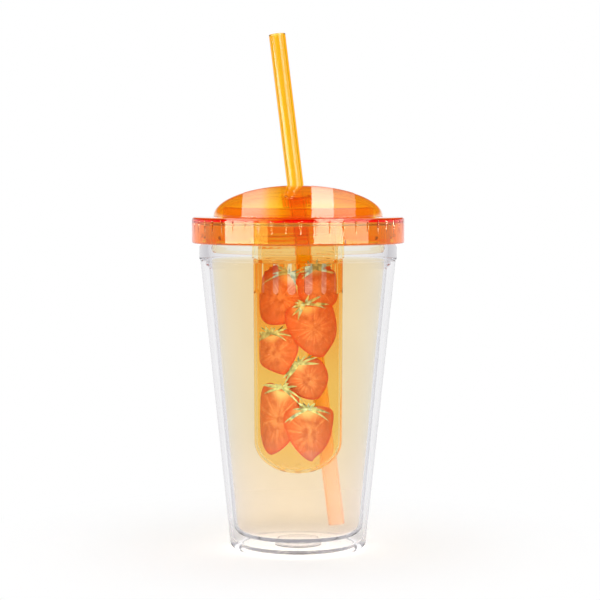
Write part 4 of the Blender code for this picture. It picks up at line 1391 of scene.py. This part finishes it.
class TUMBLER_OT_drink(bpy.types.Operator):
    """Makes the pale drink that fills the inner cup"""

    bl_idname = "tumbler.drink"
    bl_label = "Drink"

    def execute(self, context):
        cup, colours = chosen("cup", "colours")
        floor_top = INNER_CUP.bottom + cup.inner_floor + DRINK_GAP
        outline = rounded([
            (0, floor_top),
            (cup_bore(cup, floor_top) - DRINK_GAP, floor_top),
            (cup_bore(cup, cup.fill_height) - DRINK_GAP, cup.fill_height),
            (0, cup.fill_height),
        ], [0, cup.inner_corner, SOFT_EDGE, 0], closed=False)
        tones = [low_tone("drink_low", DRINK_FADE, cup.fill_height)]
        finish = dyed_plastic("pale_drink", colours, tones)
        no_shadow(turned_piece("drink", outline, finish, "cup", columns=CUP_COLUMNS))
        return {"FINISHED"}


# The stage

# The upright softboxes: degrees round the cup from the camera's side, width in degrees, share of
# the lamps' brightness and colour. A coloured one shows in reflections only.
WHITE = (1.0, 1.0, 1.0)
SOFTBOXES = {
    "softbox_left": (-65, 36, 1.0, WHITE),
    "softbox_mid_left": (-39, 15, 0.60, (1.0, 0.88, 0.20)),
    "softbox_right": (32, 32, 1.12, WHITE),
    "softbox_far_right": (64, 30, 0.50, WHITE),
}

# The bands that the dome mirrors: places across, each with the red, green and blue that it adds
BANDS = {
    "card_left": [
        (-0.0256, 0.22, 0.22, 0.21),
        (-0.0170, 0.22, 0.22, 0.20),
        (-0.0130, 0.12, 0.17, 0.05),
        (-0.0080, 0.03, 0.08, 0.00),
        (-0.0040, 0.00, 0.00, 0.00),
    ],
    "card_right": [(0.0062, 0.38, 0.38, 0.37), (0.0162, 0.38, 0.38, 0.37)],
    "card_far_right": [(0.0162, 0.10, 0.10, 0.10), (0.0263, 0.10, 0.10, 0.10)],
}

# How finely a card is drawn, how far up the dome its band reaches, how far off it lies in lamp
# distances, and its lowest height
CARD_ROWS = 48
CARD_COLUMNS = 25
CARD_REACH = 0.996
CARD_DISTANCE = 1.3
CARD_LOWEST = 0.02

# The floor's half width, its tone and the glow that it has of its own; the overhead lamp's height
# in lamp distances and its share of the brightness; and how often light may bounce
FLOOR_REACH = 3.0
FLOOR_TONE = 0.76
FLOOR_GLOW = 0.40
OVERHEAD_HEIGHT = 1.2
OVERHEAD_SHARE = 0.2
BOUNCES = 40
CLEAR_LAYERS = 32


def softbox(name, place, target, across, along, brightness):
    """A soft rectangular lamp that faces a target, of a given brightness."""
    lamp = bpy.data.lights.new(name, "AREA")
    lamp.shape = "RECTANGLE"
    lamp.size = across
    lamp.size_y = along
    lamp.energy = brightness * math.pi * across * along
    made = bpy.data.objects.new(name, lamp)
    made.location = place
    made.rotation_euler = (Vector(target) - Vector(place)).to_track_quat("-Z", "Y").to_euler()
    made.visible_camera = False
    made.visible_transmission = False
    bpy.context.scene.collection.objects.link(made)
    return made


def tall_softbox(name, stage, degrees, width_degrees, share, tone):
    """An upright softbox, at an angle round the cup from the camera's side."""
    away = math.radians(degrees)
    distance = stage.lamp_distance
    across = 2 * distance * math.tan(math.radians(width_degrees / 2))
    height = stage.softbox_middle
    place = (distance * math.sin(away), -distance * math.cos(away), height)
    bright = stage.lamp_brightness * share
    made = softbox(name, place, (0, 0, height), across, stage.softbox_height, bright)
    made.data.color = tone
    made.visible_diffuse = tone == WHITE


def camera_place(stage):
    return np.array([stage.camera_side, -stage.camera_distance, stage.camera_height])


def mirror_card(name, stops, stage):
    """A card that the dome mirrors to the camera as an upright band.

    A stop is a place across with the red, green and blue that the band adds there.

    From each point of the band, where the dome's normal is n, the line of sight d turns to
    d - 2 (d . n) n, and the card lies some way along it. Its light is the level divided by the
    share that the coat mirrors there, f + (1 - f) (1 - |d . n|)^5, and the ceiling's own tone on
    top. It fades at the dome's top edge and shows in reflections only.
    """
    rise = DOME.top - DOME.bottom
    shares = CARD_REACH * np.sin(np.linspace(0, math.pi / 2, CARD_ROWS))
    stops = np.array(stops)
    x, share = np.meshgrid(np.linspace(stops[0, 0], stops[-1, 0], CARD_COLUMNS), shares)
    width = np.sqrt(1 - (x / DOME.radius)**2)
    z = share * rise * width
    y = -DOME.radius * np.sqrt(width**2 - (z / rise)**2)
    point = np.stack([x, y, z + DOME.bottom], axis=-1)
    normal = unit(np.stack([x, y, z * (DOME.radius / rise)**2], axis=-1))
    sight = unit(point - camera_place(stage))
    facing = (sight * normal).sum(-1, keepdims=True)
    card = point + CARD_DISTANCE * stage.lamp_distance * (sight - 2 * facing * normal)
    card[..., 2] = np.maximum(card[..., 2], CARD_LOWEST)
    mirrored = COAT_MIRROR + (1 - COAT_MIRROR) * (1 - np.abs(facing[..., 0]))**5
    index = np.arange(x.size).reshape(x.shape)
    quads = np.stack([index[:-1, :-1], index[:-1, 1:], index[1:, 1:], index[1:, :-1]], axis=-1)
    mesh = bpy.data.meshes.new(name)
    mesh.from_pydata(card.reshape(-1, 3), [], quads.reshape(-1, 4).tolist())
    made = bpy.data.objects.new(name, mesh)
    light = np.ones((*x.shape, 4))
    level = np.stack([np.interp(x, stops[:, 0], stops[:, part]) for part in (1, 2, 3)], axis=-1)
    fade = 1 - 0.9 * share**32
    light[..., :3] = level * (fade / mirrored)[..., None] + np.array(stage.ceiling)
    set_mark(made, "card_light", "FLOAT_COLOR", "color", light)
    finish, tree, surface = bare_finish(name)
    glow = node(tree, "Emission", {"Color": marked(tree, "card_light", "Color")})
    tree.links.new(glow.outputs["Emission"], surface)
    mesh.materials.append(finish)
    made.visible_camera = False
    made.visible_diffuse = False
    made.visible_transmission = False
    made.visible_shadow = False
    bpy.context.scene.collection.objects.link(made)


def seen_directly(tree):
    """1 for rays from the camera or through glass that have lit no surface yet, and the ray's path."""
    path = node(tree, "LightPath", {}).outputs
    through = compute(tree, "MAXIMUM", path["Is Camera Ray"], path["Is Transmission Ray"])
    fresh = compute(tree, "LESS_THAN", path["Diffuse Depth"], 0.5)
    return compute(tree, "MULTIPLY", through, fresh), path


def floor_finish(name, stage):
    """A white floor that takes the cup's shadow and runs into the white background further out."""
    made, tree, surface = bare_finish(name)
    direct, path = seen_directly(tree)
    seen = compute(tree, "MAXIMUM", direct, path["Is Glossy Ray"])
    matt = node(tree, "BsdfDiffuse", {"Color": shade(WHITE, FLOOR_TONE)}).outputs["BSDF"]
    glow = node(tree, "Emission", {"Strength": compute(tree, "MULTIPLY", seen, FLOOR_GLOW)})
    near = node(tree, "AddShader", {0: matt, 1: glow.outputs["Emission"]}).outputs["Shader"]
    white = node(tree, "Emission", {"Strength": seen}).outputs["Emission"]
    place = node(tree, "TexCoord", {}).outputs["Object"]
    away = vector_math(tree, "LENGTH", "Value", place)
    fade = spread(tree, away, stage.shadow_reach / 4, stage.shadow_reach)
    both = node(tree, "MixShader", {"Fac": fade, 1: near, 2: white}).outputs["Shader"]
    tree.links.new(both, surface)
    return made


def light_world(stage):
    """A world that is white behind the cup and gives a low even light.

    Reflections on a surface see the white backdrop behind the cup, a darker room in front and a
    warm ceiling. Reflections inside the plastic see an even room.
    """
    world = bpy.data.worlds.new("studio")
    world.use_nodes = True
    bpy.context.scene.world = world
    tree = world.node_tree
    direct, path = seen_directly(tree)
    heading = node(tree, "TexCoord", {}).outputs["Generated"]
    heading = node(tree, "SeparateXYZ", {"Vector": heading}).outputs
    inside = compute(tree, "GREATER_THAN", path["Transmission Depth"], 0.5)
    mirrored = path["Is Glossy Ray"]
    outside = compute(tree, "MULTIPLY", mirrored, compute(tree, "SUBTRACT", 1.0, inside))
    above = spread(tree, heading["Z"], 0.04, 0.22)
    walls = spread(tree, heading["Y"], -0.1, 0.6, stage.mirrored, 1.0)
    room = compute(tree, "MULTIPLY", outside, compute(tree, "MAXIMUM", walls, above))
    within = compute(tree, "MULTIPLY", compute(tree, "MULTIPLY", mirrored, inside), stage.mirrored_inside)
    room = compute(tree, "MAXIMUM", room, within)
    level = compute(tree, "MAXIMUM", compute(tree, "MAXIMUM", direct, room), stage.ambient)
    warm = compute(tree, "MULTIPLY", outside, above)
    tint = mixed(tree, warm, shade(WHITE), shade(stage.ceiling))
    feed(tree, tree.nodes["Background"], {"Color": tint, "Strength": level})


class TUMBLER_OT_stage(bpy.types.Operator):
    """Sets up the pale floor, the soft lamps, the white background and the camera"""

    bl_idname = "tumbler.stage"
    bl_label = "Stage"

    def execute(self, context):
        scene = context.scene
        stage = scene.tumbler_stage
        mesh = bpy.data.meshes.new("floor")
        corners = FLOOR_REACH * np.array([(-1, -1, 0), (1, -1, 0), (1, 1, 0), (-1, 1, 0)])
        mesh.from_pydata(corners, [], [(0, 1, 2, 3)])
        mesh.materials.append(floor_finish("white_floor", stage))
        floor = bpy.data.objects.new("floor", mesh)
        scene.collection.objects.link(floor)
        for name, lamp in SOFTBOXES.items():
            tall_softbox(name, stage, *lamp)
        away = stage.lamp_distance
        bright = OVERHEAD_SHARE * stage.lamp_brightness
        overhead = softbox("overhead", (0, 0, OVERHEAD_HEIGHT * away), (0, 0, 0), away, away, bright)
        overhead.visible_glossy = False
        for name, stops in BANDS.items():
            mirror_card(name, stops, stage)
        light_world(stage)
        lens = bpy.data.cameras.new("camera")
        lens.sensor_fit = "HORIZONTAL"
        lens.angle = stage.field_of_view
        camera = bpy.data.objects.new("camera", lens)
        camera.location = camera_place(stage)
        camera.rotation_euler = (math.pi / 2 - stage.camera_pitch, 0, 0)
        scene.collection.objects.link(camera)
        scene.camera = camera
        scene.view_settings.view_transform = "Standard"
        scene.cycles.max_bounces = BOUNCES
        scene.cycles.transmission_bounces = BOUNCES
        scene.cycles.glossy_bounces = BOUNCES
        scene.cycles.transparent_max_bounces = CLEAR_LAYERS
        return {"FINISHED"}


OPERATORS = [
    TUMBLER_OT_stage,
    TUMBLER_OT_outer_cup,
    TUMBLER_OT_inner_cup,
    TUMBLER_OT_lid_base,
    TUMBLER_OT_lid_rings,
    TUMBLER_OT_dome,
    TUMBLER_OT_straw,
    TUMBLER_OT_basket,
    TUMBLER_OT_strawberries,
    TUMBLER_OT_drink,
]


class TUMBLER_PT_panel(bpy.types.Panel):
    """Lists the tumbler's operators and sizes"""

    bl_idname = "TUMBLER_PT_panel"
    bl_label = "Infuser Tumbler"
    bl_space_type = "VIEW_3D"
    bl_region_type = "UI"
    bl_category = "Tumbler"

    def draw(self, context):
        for operator in OPERATORS:
            self.layout.operator(operator.bl_idname)
        for key, group in GROUPS.items():
            box = self.layout.box()
            box.label(text=group.bl_rna.name)
            for name in group.__annotations__:
                box.prop(getattr(context.scene, key), name)


def register():
    for group in GROUPS.values():
        bpy.utils.register_class(group)
    for key, group in GROUPS.items():
        setattr(bpy.types.Scene, key, bpy.props.PointerProperty(type=group))
    for operator in OPERATORS:
        bpy.utils.register_class(operator)
    bpy.utils.register_class(TUMBLER_PT_panel)


def unregister():
    bpy.utils.unregister_class(TUMBLER_PT_panel)
    for operator in reversed(OPERATORS):
        bpy.utils.unregister_class(operator)
    for key in GROUPS:
        delattr(bpy.types.Scene, key)
    for group in reversed(list(GROUPS.values())):
        bpy.utils.unregister_class(group)


def main():
    register()
    bpy.ops.tumbler.stage()
    bpy.ops.tumbler.outer_cup()
    bpy.ops.tumbler.inner_cup()
    bpy.ops.tumbler.lid_base()
    bpy.ops.tumbler.lid_rings()
    bpy.ops.tumbler.dome()
    bpy.ops.tumbler.straw()
    bpy.ops.tumbler.basket()
    bpy.ops.tumbler.strawberries()
    bpy.ops.tumbler.drink()


if __name__ == "__main__":
    main()
